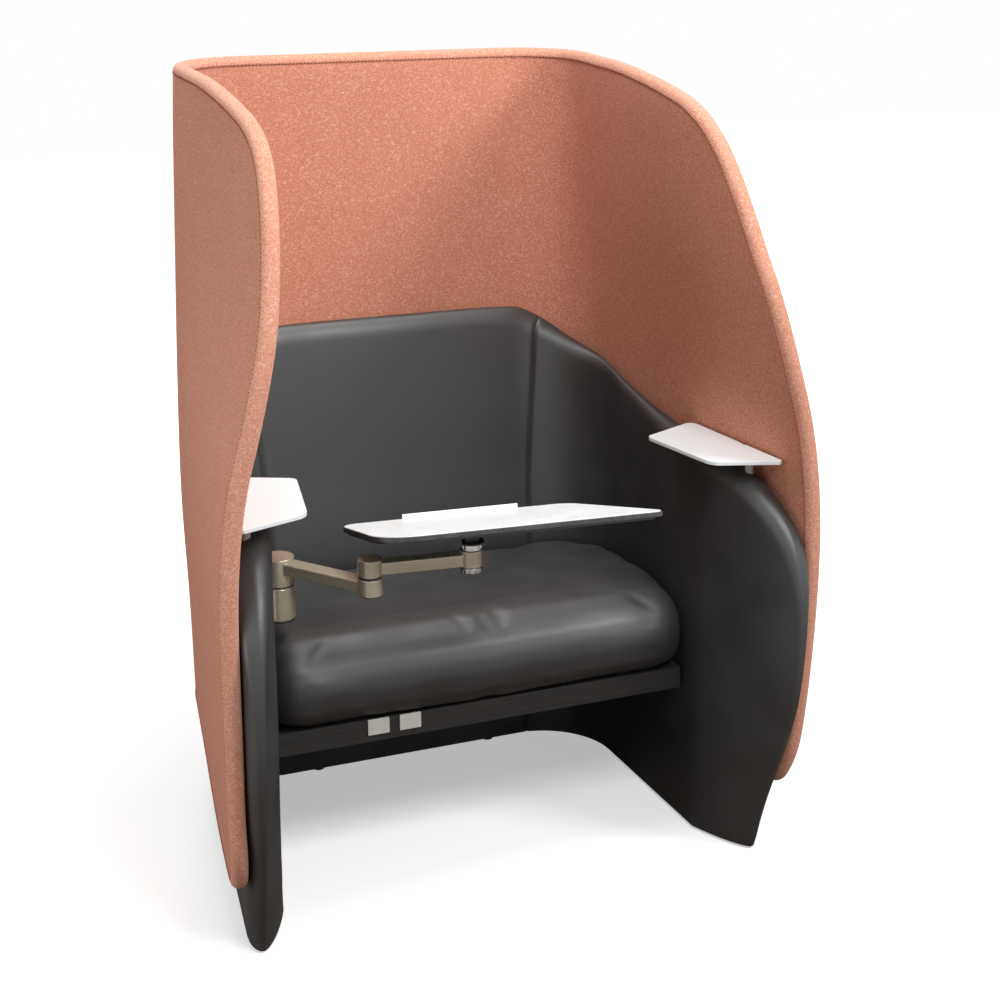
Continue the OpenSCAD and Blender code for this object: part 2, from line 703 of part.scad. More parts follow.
// Extra clearance in the tub's corners, whose padding lies in chords
corner_ease = 2;
seat_low_z = seat_board_z + seat_board_t + seat_step;
seat_profile_shares = [[1, 0], [0.5, 0], [0.095, 0], [0.045, 0.06], [0.014, 0.2], [0, 0.42],
    [0.006, 0.6], [0.03, 0.77], [0.075, 0.89], [0.14, 0.96], [0.24, 0.995], [0.36, 1], [0.55, 0.96],
    [0.75, 0.89], [0.93, 0.83], [0.985, 0.79], [1, 0.72]];
// Stations across the seat, from the middle to the side
seat_stations_share = [0, 0.3, 0.55, 0.72, 0.81, 0.87, 0.92, 0.955, 0.98, 0.994, 1];
// Drop of the crown towards the sides, and the width over which it drops
seat_side_drop_share = 0.1;
seat_side_run_share = 0.12;
// Part of the corner's quarter circle that is built before the side is closed
corner_end_share = 0.92;
seat_sign_stations = concat(
    [for (i = [len(seat_stations_share) - 1:-1:1]) -seat_stations_share[i]], seat_stations_share);
seat_half_low = inner_side_x(seat_nose_y, seat_h) - seat_gap;
function seat_half(y) = min(inner_side_x(y, seat_h), seat_corner_half(y)) - seat_gap;
// Half width of the tub's inner corner at depth y
function seat_corner_half(y) =
    let (c = seat_rear - tub_inner_r, v = min(y - c, tub_inner_r))
    v <= 0 ? tub_inner_half : tub_inner_half - tub_inner_r + sqrt(pow(tub_inner_r, 2) - v * v) - corner_ease;
// Where the seat's back end is drawn: the middle of its back, short of the corners
function seat_point(s, row) =
    let (x0 = s * seat_half_low,
        run = max(0, (abs(x0) - (seat_half_low - seat_corner_r)) / seat_corner_r),
        front = seat_nose_y + seat_corner_r * (1 - sqrt(1 - pow(run * corner_end_share, 2))),
        y_raw = mix(front, seat_back_y, row[0]),
        drop = max(0, (abs(s) - 1 + seat_side_run_share) / seat_side_run_share),
        z = mix(seat_low_z, seat_h, row[1] * (1 - seat_side_drop_share * drop * drop)),
        limit = seat_half(min(y_raw, seat_back_y)),
        x = abs(s) * min(seat_half_low, limit))
    [sign(s) * x, min(y_raw, seat_back_y), z];
module seat_cushion() {
    n = len(seat_profile_shares);
    rings = [for (s = seat_sign_stations) [for (row = seat_profile_shares) seat_point(s, row)]];
    fan = [for (k = [1:n - 2]) [0, k, k + 1]];
    last = (len(rings) - 1) * n;
    faces = concat(
        [for (i = [0:len(rings) - 2], k = [0:n - 1])
            [i * n + k, (i + 1) * n + (k + 1) % n, (i + 1) * n + k]],
        [for (i = [0:len(rings) - 2], k = [0:n - 1])
            [i * n + k, i * n + (k + 1) % n, (i + 1) * n + (k + 1) % n]],
        [for (f = fan) [f[0], f[2], f[1]]],
        [for (f = fan) [last + f[0], last + f[1], last + f[2]]]);
    color("#39393a") polyhedron([for (ring = rings) each ring], faces, convexity = 10);
}

// The seat board, with its back corners cut to clear the tub's corners
seat_board_front = seat_nose_y + seat_board_inset;
seat_board_half = min(inner_side_x(seat_board_front, seat_board_z), tub_inner_half) - seat_gap;
seat_board_back = seat_rear - seat_gap;
seat_corner_steps = 8;
module seat_board_plan(inset) {
    r = tub_inner_r - seat_gap - corner_ease - inset;
    c = [tub_inner_half - tub_inner_r, seat_rear - tub_inner_r];
    arc = [for (i = [0:seat_corner_steps]) c + r * heading(90 * i / seat_corner_steps)];
    half = min(c[0] + r, seat_board_half - inset);
    polygon(concat([[-half, seat_board_front + inset], [half, seat_board_front + inset]], arc,
        [for (i = [seat_corner_steps:-1:0]) [-arc[i][0], arc[i][1]]]));
}
module seat_board() {
    color("#c9a878") difference() {
        translate([0, 0, seat_board_z]) linear_extrude(seat_board_t) seat_board_plan(0);
        seat_screw_shapes(pocket_gap);
    }
}

// Cleats along the sides and the back, under the seat board
cleat_front_y = seat_board_front + cleat_w + seat_step;
cleat_top_z = seat_board_z - seat_step / 2;
cleat_half = seat_board_half - seat_step;
cleat_l = seat_rear - tub_inner_r - cleat_back_gap - cleat_front_y;
back_cleat_half_share = 0.6;
back_cleat_half = back_cleat_half_share * seat_board_half;
module seat_cleats() {
    color("#2c2a29") difference() {
        union() {
            for (side = [0, 1]) mirror([side, 0, 0])
                translate([cleat_half - cleat_w, cleat_front_y, cleat_top_z - cleat_w])
                    cube([cleat_w, cleat_l, cleat_w]);
            translate([-back_cleat_half, seat_board_back - cleat_w, cleat_top_z - cleat_w])
                cube([2 * back_cleat_half, cleat_w, cleat_w]);
        }
        seat_screw_shapes(pocket_gap);
    }
}
module seat_front_rail() {
    color("#2c2a29") translate([-cleat_half, seat_board_front, cleat_top_z - cleat_w])
        difference() {
            cube([2 * cleat_half, cleat_w, cleat_w]);
            translate([cleat_half, -seat_board_front, cleat_w - cleat_top_z]) seat_screw_shapes(pocket_gap);
        }
}

// Screws down through the seat board into the cleats and the rail
screw_pitch_share = 0.4;
seat_screw_l = seat_board_t + cleat_w / 2;
module seat_screw_shape(grow) {
    translate([0, 0, seat_board_z + seat_board_t - seat_screw_l - grow])
        cylinder(h = seat_screw_l + grow + (grow > 0 ? over : 0), d = seat_screw_d + 2 * grow);
}
module seat_screw_shapes(grow) {
    for (side = [-1, 1], end = [-1, 1])
        translate([side * (cleat_half - cleat_w / 2),
            cleat_front_y + cleat_l / 2 + end * screw_pitch_share * cleat_l, 0]) seat_screw_shape(grow);
    for (side = [-1, 1]) {
        translate([side * screw_pitch_share * back_cleat_half * 2, seat_board_back - cleat_w / 2, 0])
            seat_screw_shape(grow);
        translate([side * screw_pitch_share * seat_board_half, seat_board_front + cleat_w / 2, 0])
            seat_screw_shape(grow);
    }
}
module seat_screws() {
    color("#8a8c90") seat_screw_shapes(0);
}

// Two pale clips under the seat's front edge that hold the cushion's cover
clip_x_share = [-0.52, -0.37];
clip_w_share = 0.1;
module seat_clips() {
    w = clip_w_share * seat_board_half;
    color("#d8d4cc") for (s = clip_x_share)
        translate([s * seat_board_half - w / 2, seat_board_front - clip_t - seat_step,
            cleat_top_z - cleat_w / 2])
            cube([w, clip_t, seat_low_z - seat_step - cleat_top_z + cleat_w / 2]);
}

// Thin black cloth under the seat board, between the cleats
cloth_t = 1;
module dust_cover() {
    color("#1d1d1e") translate([0, 0, cleat_top_z - cloth_t]) linear_extrude(cloth_t)
        seat_board_plan(cleat_w + 2 * seat_step);
}

// Trays: a slanted outline whose outer edge follows the screen
// Height of the arm rests, as a part of the height of the tub's back
arm_rest_share = 0.7955;
tray_z = arm_rest_share * tub_back_h + tray_rise;
tray_front_setback = 99;
tray_front_y = -front_reach + tray_front_setback;
tray_screen_gap = 5;
// Points of the outline rounded by arcs, each turned into a few short chords
function rounded(points, radii, steps) =
    [for (i = [0:len(points) - 1])
        let (n = len(points), p = points[i], a = unit(points[(i + n - 1) % n] - p),
            b = unit(points[(i + 1) % n] - p),
            half = acos(max(-1, min(1, a * b))) / 2,
            run = radii[i] / tan(half),
            centre = p + unit(a + b) * radii[i] / sin(half),
            v0 = p + a * run - centre,
            v1 = p + b * run - centre,
            a0 = atan2(v0[1], v0[0]),
            turn = (atan2(v1[1], v1[0]) - a0 + 540) % 360 - 180)
        for (k = [0:steps]) centre + radii[i] * heading(a0 + turn * k / steps)];
corner_steps = 8;
// Corners of the right tray, from the front inner corner round to the back inner one
tray_back_y = tray_front_y + tray_l;
function tray_outer_x(y) = side_x(y, tray_z) - screen_t / cos(side_slant(tray_z)) - tray_screen_gap;
tray_front_slant_share = 0.15;
tray_back_slant_share = 0.2;
tray_corners = [
    [tray_outer_x(tray_front_y) - tray_w, tray_front_y + tray_front_slant_share * tray_l],
    [tray_outer_x(tray_front_y), tray_front_y],
    [tray_outer_x(tray_back_y), tray_back_y],
    [tray_outer_x(tray_back_y) - tray_w, tray_back_y - tray_back_slant_share * tray_l]];
tray_radii = [2 * tray_r, tray_r / 2, tray_r, tray_r];
// Notch in the outer edge that lets the screen's bolt cover pass
notch_y_share = 0.4;
notch_w = 2 * tray_r;
notch_deep = 3;
module tray_shape() {
    difference() {
        translate([0, 0, tray_z - tray_t]) linear_extrude(tray_t)
            polygon(rounded(tray_corners, tray_radii, corner_steps));
        translate([tray_outer_x(tray_front_y + notch_y_share * tray_l) - notch_deep,
            tray_front_y + notch_y_share * tray_l, tray_z - tray_t - over])
            cube([notch_w, notch_w, tray_t + 2 * over]);
        tray_screw_shapes(pocket_gap / 2);
    }
}
module tray_right() {
    color("#f4f4f4") tray_shape();
}
module tray_left() {
    color("#f4f4f4") mirror([1, 0, 0]) tray_shape();
}

// Posts of the trays stand on the side boards
post_share = [0.26, 0.68];
post_y = [for (s = post_share) tray_front_y + s * tray_l];
post_top = tray_z - tray_t - tray_plate_t - seat_step;
function board_top_z(y) =
    let (u = 2 + (station_y(2) - y) / (station_y(2) + front_reach)) tub_top(u) - board_drop;
// The board's top edge is a chain of straight runs, so the post starts a little above it
post_lift = 3;
module at_posts() {
    for (y = post_y) translate([board_x(y), y, board_top_z(y)]) children();
}
module post_spigots(grow) {
    at_posts() translate([0, 0, -spigot_l - grow])
        cylinder(h = spigot_l + post_lift + grow, d = spigot_d + 2 * grow);
}
module post_holes() {
    for (side = [0, 1]) mirror([side, 0, 0]) {
        at_posts() translate([0, 0, -post_lift])
            cylinder(h = post_top, d = post_d + 2 * pocket_gap);
    }
}
module tray_bracket() {
    for (y = post_y) translate([board_x(y), y, board_top_z(y) + post_lift])
        cylinder(h = post_top - board_top_z(y) - post_lift, d = post_d);
    post_spigots(0);
    hull() for (y = post_y) translate([board_x(y), y, post_top])
        cylinder(h = tray_plate_t, d = 2 * post_d, $fn = 32);
}
module tray_bracket_right() {
    color("#dcdad6") difference() {
        tray_bracket();
        tray_screw_shapes(pocket_gap / 2);
    }
}
module tray_bracket_left() {
    color("#dcdad6") mirror([1, 0, 0]) difference() {
        tray_bracket();
        tray_screw_shapes(pocket_gap / 2);
    }
}
// Two screws up through each bracket plate into the tray
tray_screw_d = 4;
tray_screw_share = [0.4, 0.6];
module tray_screw_shapes(grow) {
    for (s = tray_screw_share) {
        y = tray_front_y + s * tray_l;
        translate([board_x(y), y, post_top - (grow > 0 ? over : 0)])
            cylinder(h = tray_plate_t + tray_t / 2 + seat_step + grow + (grow > 0 ? over : 0),
                d = tray_screw_d + 2 * grow);
    }
}
module tray_screws() {
    color("#8a8c90") {
        tray_screw_shapes(0);
        mirror([1, 0, 0]) tray_screw_shapes(0);
    }
}

// Arm base, fixed to the inner face of the left side
base_x = tub_inner_half - base_inset;
base = [-base_x, -base_y];
hub_low_z = hub_top_z - hub_h;
socket_top_z = hub_low_z - base_gap;
socket_low_z = socket_top_z - socket_h;
socket_mid_z = (socket_top_z + socket_low_z) / 2;
bush_h = socket_h / 3;
wall_x = inner_side_x(base[1], socket_mid_z);
wall_slant = atan2(tub_front_half - tub_inner_half, inner_back_y(0) - tub_inner_r + front_reach);
wall_reach = (wall_x - base_x) * cos(wall_slant) - seat_step;
// Step of the web back from the socket's top, bottom and sides
web_inset = 2;
module at_base() {
    translate([base[0], base[1], 0]) children();
}
module wall_bracket() {
    color("#a39d88") difference() {
        at_base() {
            translate([0, 0, socket_low_z]) cylinder(h = socket_h, d = socket_d);
            rotate([0, 0, -wall_slant]) {
                translate([-wall_reach, -plate_w / 2, socket_mid_z - plate_h / 2])
                    cube([plate_t, plate_w, plate_h]);
                translate([-wall_reach + plate_t / 2, web_inset - socket_d / 2, socket_low_z + web_inset])
                    cube([wall_reach - plate_t / 2, socket_d - 2 * web_inset, socket_h - 2 * web_inset]);
            }
        }
        at_base() translate([0, 0, socket_low_z - over])
            cylinder(h = socket_h + 2 * over, d = base_pin_d + 2 * bush_t);
        wall_screw_shapes(pocket_gap);
    }
}
// Four screws through the plate, each in a spacer between plate and board
plate_screw_y = (plate_w + socket_d) / 4;
plate_screw_z = plate_h / 2 - plate_screw_d * 2;
spacer_d = plate_screw_d * 2;
wall_board_x = board_x(base[1]) - board_t / 2;
module at_wall_screws() {
    for (sy = [-1, 1], sz = [-1, 1])
        translate([-wall_x, base[1] + sy * plate_screw_y, socket_mid_z + sz * plate_screw_z]) children();
}
wall_screw_head_h = plate_screw_d / 2;
// Room that the slant of the plate takes under a screw head
head_room = plate_screw_y * sin(wall_slant) + seat_step;
screw_start = plate_t + head_room + wall_screw_head_h;
module wall_screw_shapes(grow) {
    at_wall_screws() rotate([0, -90, 0]) translate([0, 0, -screw_start]) {
        cylinder(h = wall_screw_head_h, d = 2 * plate_screw_d + 2 * grow);
        cylinder(h = screw_start + wall_board_x - wall_x + board_t / 2 + grow,
            d = plate_screw_d + 2 * grow);
    }
}
module wall_screws() {
    color("#6f7074") wall_screw_shapes(0);
}
// Each spacer runs from the padding's inner face to the board, which stands at a slant
spacer_bevel = spacer_d / 2 * (abs(cos(board_turn)) + sin(wall_slant)) + seat_step;
function spacer_start(y) = inner_side_x(y, socket_mid_z) - wall_x + spacer_bevel;
function spacer_end(y) = board_x(y) - board_t / 2 - wall_x - spacer_bevel;
module wall_spacer_shapes(grow) {
    for (sy = [-1, 1], sz = [-1, 1]) {
        y = base[1] + sy * plate_screw_y;
        low = grow > 0 ? -over : spacer_start(y);
        high = spacer_end(y) + (grow > 0 ? spacer_bevel + over : 0);
        translate([-wall_x, y, socket_mid_z + sz * plate_screw_z]) rotate([0, -90, 0])
            translate([0, 0, low]) difference() {
                cylinder(h = high - low, d = spacer_d + 2 * grow);
                if (grow == 0) translate([0, 0, -over])
                    cylinder(h = high - low + 2 * over, d = plate_screw_d + 2 * pocket_gap);
            }
    }
}
module wall_spacers() {
    color("#7d7f83") wall_spacer_shapes(0);
}
module bush(low, h, inner_d) {
    translate([0, 0, low]) difference() {
        cylinder(h = h, d = inner_d + 2 * bush_t);
        translate([0, 0, -over]) cylinder(h = h + 2 * over, d = inner_d);
    }
}
module socket_bush_upper() {
    color("#e3ddcf") at_base() bush(socket_top_z - bush_h, bush_h, base_pin_d);
}
module socket_bush_lower() {
    color("#e3ddcf") at_base() bush(socket_low_z, bush_h, base_pin_d);
}
cap_h = 4;
module socket_cap() {
    color("#1b1b1c") at_base() translate([0, 0, socket_low_z - cap_h]) cylinder(h = cap_h, d = socket_d - cap_h / 2);
}
module base_thrust_washer() {
    color("#1b1b1c") at_base() translate([0, 0, socket_top_z]) difference() {
        cylinder(h = base_gap - seat_step, d = hub_d - 2 * base_gap);
        translate([0, 0, -over]) cylinder(h = base_gap + over, d = base_pin_d + 2 * seat_step);
    }
}
module base_pin() {
    color("#b9bbbf") at_base() translate([0, 0, socket_low_z + seat_step])
        cylinder(h = hub_top_z - hub_cap_t * 2 - socket_low_z - seat_step, d = base_pin_d - 2 * running_gap);
}

// Lower arm: base hub, bar and lower elbow hub
hub_cap_t = 2;
bar_drop = 6;
elbow_drop = 1;
elbow = base + lower_arm_l * heading(lower_angle);
lower_bar_top = hub_top_z - bar_drop;
lower_hub_top = hub_top_z - elbow_drop;
lower_hub_low = lower_hub_top - elbow_h;
cap_share = 0.82;
hub_cap_d = cap_share * hub_d;
elbow_bush_d = elbow_pin_d + 2 * bush_t;
module at_elbow() {
    translate([elbow[0], elbow[1], 0]) children();
}
module lower_arm() {
    color("#b5ae99") difference() {
        union() {
            at_base() {
                translate([0, 0, hub_low_z]) cylinder(h = hub_h, d = hub_d);
                rotate([0, 0, lower_angle]) translate([0, -lower_bar_w / 2, lower_bar_top - lower_bar_t])
                    cube([lower_arm_l, lower_bar_w, lower_bar_t]);
            }
            at_elbow() translate([0, 0, lower_hub_low]) cylinder(h = elbow_h, d = elbow_d);
        }
        at_base() {
            translate([0, 0, hub_low_z - over]) cylinder(h = hub_h - 2 * hub_cap_t + over, d = base_pin_d);
            translate([0, 0, hub_top_z - hub_cap_t]) cylinder(h = hub_cap_t + over, d = hub_cap_d + seat_step);
        }
        at_elbow() translate([0, 0, lower_hub_low - over]) cylinder(h = elbow_h + 2 * over, d = elbow_bush_d);
    }
}
module hub_cap() {
    color("#c8b6a6") at_base() translate([0, 0, hub_top_z - hub_cap_t]) cylinder(h = hub_cap_t, d = hub_cap_d);
}
module elbow_bush() {
    color("#e3ddcf") at_elbow() bush(lower_hub_low, elbow_h, elbow_pin_d);
}
module elbow_washer() {
    color("#1b1b1c") at_elbow() translate([0, 0, lower_hub_top]) difference() {
        cylinder(h = elbow_gap - seat_step, d = elbow_d - elbow_gap);
        translate([0, 0, -over]) cylinder(h = elbow_gap + over, d = elbow_bush_d);
    }
}

// Upper arm: upper elbow hub, bar and end hub
upper_hub_low = lower_hub_top + elbow_gap;
upper_hub_top = upper_hub_low + elbow_h;
head_axis = elbow + upper_arm_l * heading(upper_angle);
end_bore_d = spindle_d + 2 * bush_t;
module at_head() {
    translate([head_axis[0], head_axis[1], 0]) children();
}
elbow_cap_t = 1.5;
// Height of the upper bar's underside above the underside of its hubs
bar_lift = 1;
module upper_arm() {
    color("#a8a28c") difference() {
        union() {
            at_elbow() {
                translate([0, 0, upper_hub_low]) cylinder(h = elbow_h, d = elbow_d);
                rotate([0, 0, upper_angle]) translate([0, -upper_bar_w / 2, upper_hub_low + bar_lift])
                    cube([upper_arm_l, upper_bar_w, upper_bar_t]);
            }
            at_head() translate([0, 0, upper_hub_low]) cylinder(h = elbow_h, d = elbow_d);
        }
        at_elbow() {
            translate([0, 0, upper_hub_low - over])
                cylinder(h = elbow_h - 2 * elbow_cap_t + over, d = elbow_pin_d);
            translate([0, 0, upper_hub_top - elbow_cap_t])
                cylinder(h = elbow_cap_t + over, d = cap_share * elbow_d + seat_step);
        }
        at_head() translate([0, 0, upper_hub_low - over]) cylinder(h = elbow_h + 2 * over, d = end_bore_d);
    }
}
module elbow_cap() {
    color("#8f8a74") at_elbow() translate([0, 0, upper_hub_top - elbow_cap_t])
        cylinder(h = elbow_cap_t, d = cap_share * elbow_d);
}
elbow_nut_h = 4;
elbow_nut_d = elbow_pin_d + elbow_nut_h;
module elbow_pin() {
    color("#b9bbbf") at_elbow() translate([0, 0, lower_hub_low - seat_step - elbow_nut_h / 2])
        cylinder(h = upper_hub_top - 2 * elbow_cap_t - lower_hub_low + seat_step + elbow_nut_h / 2,
            d = elbow_pin_d - 2 * running_gap);
}
module elbow_nut() {
    color("#161617") at_elbow() translate([0, 0, lower_hub_low - seat_step - elbow_nut_h]) difference() {
        union() {
            cylinder(h = elbow_nut_h, d = elbow_nut_d, $fn = 6);
            translate([0, 0, elbow_nut_h / 2]) cylinder(h = elbow_nut_h / 2, d = elbow_d - 2 * elbow_nut_h);
        }
        translate([0, 0, elbow_nut_h / 2]) cylinder(h = elbow_nut_h, d = elbow_pin_d);
    }
}
module end_bush() {
    color("#e3ddcf") at_head() bush(upper_hub_low, elbow_h, spindle_d);
}

// Head: spindle, clutch rings, washers and the lug that carries the tilt pin
ring_clearance = seat_step;
upper_ring_low = upper_hub_top + friction_t + ring_clearance;
upper_ring_top = upper_ring_low + upper_ring_h;
lower_ring_top = upper_hub_low - friction_t - ring_clearance;
lower_ring_low = lower_ring_top - lower_ring_h;
notch_count = 12;
notch_w_share = 0.11;
module clutch_ring(low, h) {
    translate([0, 0, low]) difference() {
        cylinder(h = h, d = ring_d);
        translate([0, 0, -over]) cylinder(h = h + 2 * over, d = spindle_d);
        for (i = [0:notch_count - 1]) rotate([0, 0, 360 * i / notch_count])
            translate([ring_d / 2 - notch_depth, -notch_w_share * ring_d / 2, h / 3])
                cube([ring_d, notch_w_share * ring_d, h]);
    }
}
module clutch_ring_upper() {
    color("#d6d8db") at_head() clutch_ring(upper_ring_low, upper_ring_h);
}
module clutch_ring_lower() {
    color("#d6d8db") at_head() translate([0, 0, lower_ring_top + lower_ring_low]) mirror([0, 0, 1])
        clutch_ring(lower_ring_low, lower_ring_h);
}
module friction_washers() {
    color("#3b3936") at_head() for (low = [upper_ring_low - friction_t, lower_ring_top])
        translate([0, 0, low]) difference() {
            cylinder(h = friction_t, d = elbow_d - 2 * bush_t);
            translate([0, 0, -over]) cylinder(h = friction_t + 2 * over, d = end_bore_d);
        }
}
nut_h = 3;
module head_spindle() {
    color("#a4a6aa") at_head() translate([0, 0, lower_ring_low - nut_h / 2])
        cylinder(h = upper_ring_top + base_disc_t / 2 - lower_ring_low + nut_h / 2,
            d = spindle_d - 2 * running_gap);
}
module spindle_nut() {
    color("#161617") at_head() translate([0, 0, lower_ring_low - nut_h]) difference() {
        cylinder(h = nut_h, d = ring_d - 4 * nut_h);
        translate([0, 0, nut_h / 2]) cylinder(h = nut_h, d = spindle_d);
    }
}
base_disc_t = 3;
base_disc_d = ring_d + base_disc_t;
tilt_z = upper_hub_top + tilt_axis_h;
lug_r = tilt_pin_d / 2 + base_disc_t;
module at_tilt() {
    translate([head_axis[0], head_axis[1], tilt_z]) rotate([0, 0, tablet_angle]) children();
}
module swivel_head() {
    color("#1e1e20") difference() {
        union() {
            at_head() translate([0, 0, upper_ring_top]) cylinder(h = base_disc_t, d = base_disc_d);
            at_tilt() {
                translate([-lug_w / 2, 0, 0]) rotate([0, 90, 0]) cylinder(h = lug_w, r = lug_r);
                translate([-lug_w / 2, -lug_r, upper_ring_top + base_disc_t / 2 - tilt_z])
                    cube([lug_w, 2 * lug_r, tilt_z - upper_ring_top - base_disc_t / 2]);
            }
        }
        at_head() translate([0, 0, upper_ring_top - over]) cylinder(h = base_disc_t / 2 + over, d = spindle_d);
        at_tilt() translate([-lug_w / 2 - over, 0, 0]) rotate([0, 90, 0])
            cylinder(h = lug_w + 2 * over, d = tilt_pin_d);
    }
}
pin_reach = lug_w / 2 + seat_step + ear_w + base_disc_t;
module tilt_pin() {
    color("#b9bbbf") at_tilt() translate([-pin_reach, 0, 0]) rotate([0, 90, 0])
        cylinder(h = 2 * pin_reach, d = tilt_pin_d - 2 * running_gap);
}

// Tablet, in a frame that lies on the tilt axis and leans with the board
module at_tablet() {
    at_tilt() rotate([-tablet_tilt, 0, 0]) children();
}
ear_gap = 0.6;
ear_r = tilt_pin_d / 2 + base_disc_t;
bracket_low = lug_r + base_disc_t / 2;
bracket_top = bracket_low + bracket_t;
core_low = bracket_top;
core_top = core_low + tablet_t;
board_face = core_top + top_t;
bracket_left = 54;
bracket_right = 26;
bracket_depth = 60;
fin_drop = 15;
fin_left = 52;
fin_right = 22;
fin_y = 22;
module tablet_bracket() {
    color("#1a1a1c") at_tablet() difference() {
        union() {
            translate([-bracket_left, -bracket_depth / 2, bracket_low])
                cube([bracket_left + bracket_right, bracket_depth, bracket_t]);
            for (side = [0, 1]) mirror([side, 0, 0]) translate([lug_w / 2 + ear_gap, 0, 0]) {
                rotate([0, 90, 0]) cylinder(h = ear_w, r = ear_r);
                translate([0, -ear_r, 0]) cube([ear_w, 2 * ear_r, bracket_low + bracket_t / 2]);
            }
            translate([-fin_left, -fin_y, bracket_low + bracket_t / 2]) rotate([-90, 0, 0])
                linear_extrude(bracket_t) polygon(concat(
                    [[0, 0], [fin_left - fin_right, 0], [fin_left - fin_right, fin_drop + bracket_low]],
                    [for (i = [1:corner_steps])
                        (fin_drop + bracket_low) * [1 - sin(90 * i / corner_steps), cos(90 * i / corner_steps)]]));
        }
        translate([-pin_reach - over, 0, 0]) rotate([0, 90, 0])
            cylinder(h = 2 * (pin_reach + over), d = tilt_pin_d);
        tablet_screw_shapes(pocket_gap / 2);
    }
}
tablet_screw_d = 4;
module tablet_screw_shapes(grow) {
    for (x = [-bracket_left + 2 * tablet_screw_d, bracket_right - 2 * tablet_screw_d],
        y = [-1, 1] * (bracket_depth / 2 - 2 * tablet_screw_d))
        translate([x, y, bracket_low - (grow > 0 ? over : 0)])
            cylinder(h = bracket_t + tablet_t / 2 + grow + (grow > 0 ? over : 0),
                d = tablet_screw_d + 2 * grow);
}
module tablet_screws() {
    color("#6f7074") at_tablet() tablet_screw_shapes(0);
}
// Corners of the tablet, from the user's left corner round, in the frame of its tilt axis
tablet_left = 192;
tablet_back = 97;
tablet_front_left = 168;
function tablet_corners(inset) = [
    [-tablet_left + inset, tablet_back - inset],
    [-tablet_front_left + inset, tablet_back - tablet_depth + inset],
    [-tablet_front_left + tablet_front_l - 2 * inset, tablet_back - tablet_depth + inset],
    [-tablet_left + tablet_back_l - inset / 2, tablet_back - inset]];
tablet_radii = [26, 66, 14, 42];
module tablet_plan(inset) {
    polygon(rounded(tablet_corners(inset), tablet_radii, corner_steps));
}
module tablet_core() {
    color("#1c1c1d") at_tablet() difference() {
        union() {
            translate([0, 0, core_low]) linear_extrude(bevel_h) tablet_plan(bevel_w);
            translate([0, 0, core_low + bevel_h]) linear_extrude(tablet_t - bevel_h) tablet_plan(0);
        }
        tablet_screw_shapes(pocket_gap / 2);
    }
}
top_inset = 1.2;
module tablet_top() {
    color("#efefef") at_tablet() translate([0, 0, core_top]) linear_extrude(top_t) tablet_plan(top_inset);
}
ledge_x = -87;
module tablet_ledge() {
    color("#fafafa") at_tablet() translate([ledge_x, tablet_back - top_inset - ledge_t, board_face])
        cube([ledge_l, ledge_t, ledge_h]);
}

screen_core();
screen_inner_felt();
screen_outer_felt();
screen_edge_band();
screen_bolts();
side_board_left();
side_board_right();
back_board();
bent_corners();
side_pad_left();
side_pad_right();
back_pad();
glides();
seat_board();
seat_cleats();
seat_front_rail();
seat_screws();
seat_clips();
seat_cushion();
dust_cover();
tray_left();
tray_right();
tray_bracket_left();
tray_bracket_right();
tray_screws();
wall_bracket();
wall_screws();
wall_spacers();
socket_bush_upper();
socket_bush_lower();
socket_cap();
base_thrust_washer();
lower_arm();
base_pin();
hub_cap();
elbow_washer();
elbow_bush();
upper_arm();
elbow_pin();
elbow_nut();
elbow_cap();
end_bush();
head_spindle();
clutch_ring_upper();
clutch_ring_lower();
friction_washers();
spindle_nut();
swivel_head();
tilt_pin();
tablet_bracket();
tablet_screws();
tablet_core();
tablet_top();
tablet_ledge();
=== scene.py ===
"""Looks of an acoustic high back lounge chair: felt screen, leather tub and seat, trays and a tablet arm."""
import json
import logging
import math
from dataclasses import dataclass, field
from enum import Enum
from typing import Callable, Sequence

import bmesh
import bpy
import numpy as np
from mathutils import Matrix, Vector


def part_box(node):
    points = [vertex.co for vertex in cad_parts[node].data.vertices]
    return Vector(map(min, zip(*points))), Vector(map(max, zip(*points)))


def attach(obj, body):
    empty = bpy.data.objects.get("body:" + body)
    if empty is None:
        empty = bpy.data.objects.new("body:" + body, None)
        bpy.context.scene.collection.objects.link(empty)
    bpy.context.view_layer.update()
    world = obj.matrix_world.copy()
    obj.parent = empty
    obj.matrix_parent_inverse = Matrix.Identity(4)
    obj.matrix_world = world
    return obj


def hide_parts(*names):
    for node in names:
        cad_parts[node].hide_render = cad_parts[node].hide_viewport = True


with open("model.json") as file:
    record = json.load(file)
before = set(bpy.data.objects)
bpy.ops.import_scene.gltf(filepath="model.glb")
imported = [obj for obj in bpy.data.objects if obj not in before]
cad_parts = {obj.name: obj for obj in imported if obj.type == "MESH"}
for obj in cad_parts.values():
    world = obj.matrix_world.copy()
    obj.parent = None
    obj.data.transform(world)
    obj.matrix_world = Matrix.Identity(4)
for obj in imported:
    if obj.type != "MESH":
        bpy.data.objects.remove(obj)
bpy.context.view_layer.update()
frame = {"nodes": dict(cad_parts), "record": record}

LOG = logging.getLogger("chair")
Array = np.ndarray
Rows = Sequence[tuple[float, float]]
Colour = tuple[float, float, float]


class Body(str, Enum):
    """The five bodies that the chair's pieces move with."""

    CHAIR = "chair"
    LOWER_ARM = "lower_arm"
    UPPER_ARM = "upper_arm"
    HEAD = "swivel_head"
    TABLET = "tablet"


class Side(Enum):
    """The two sides of the chair, by the sign of X."""

    LEFT = -1
    RIGHT = 1


# ---- curves and plans ----


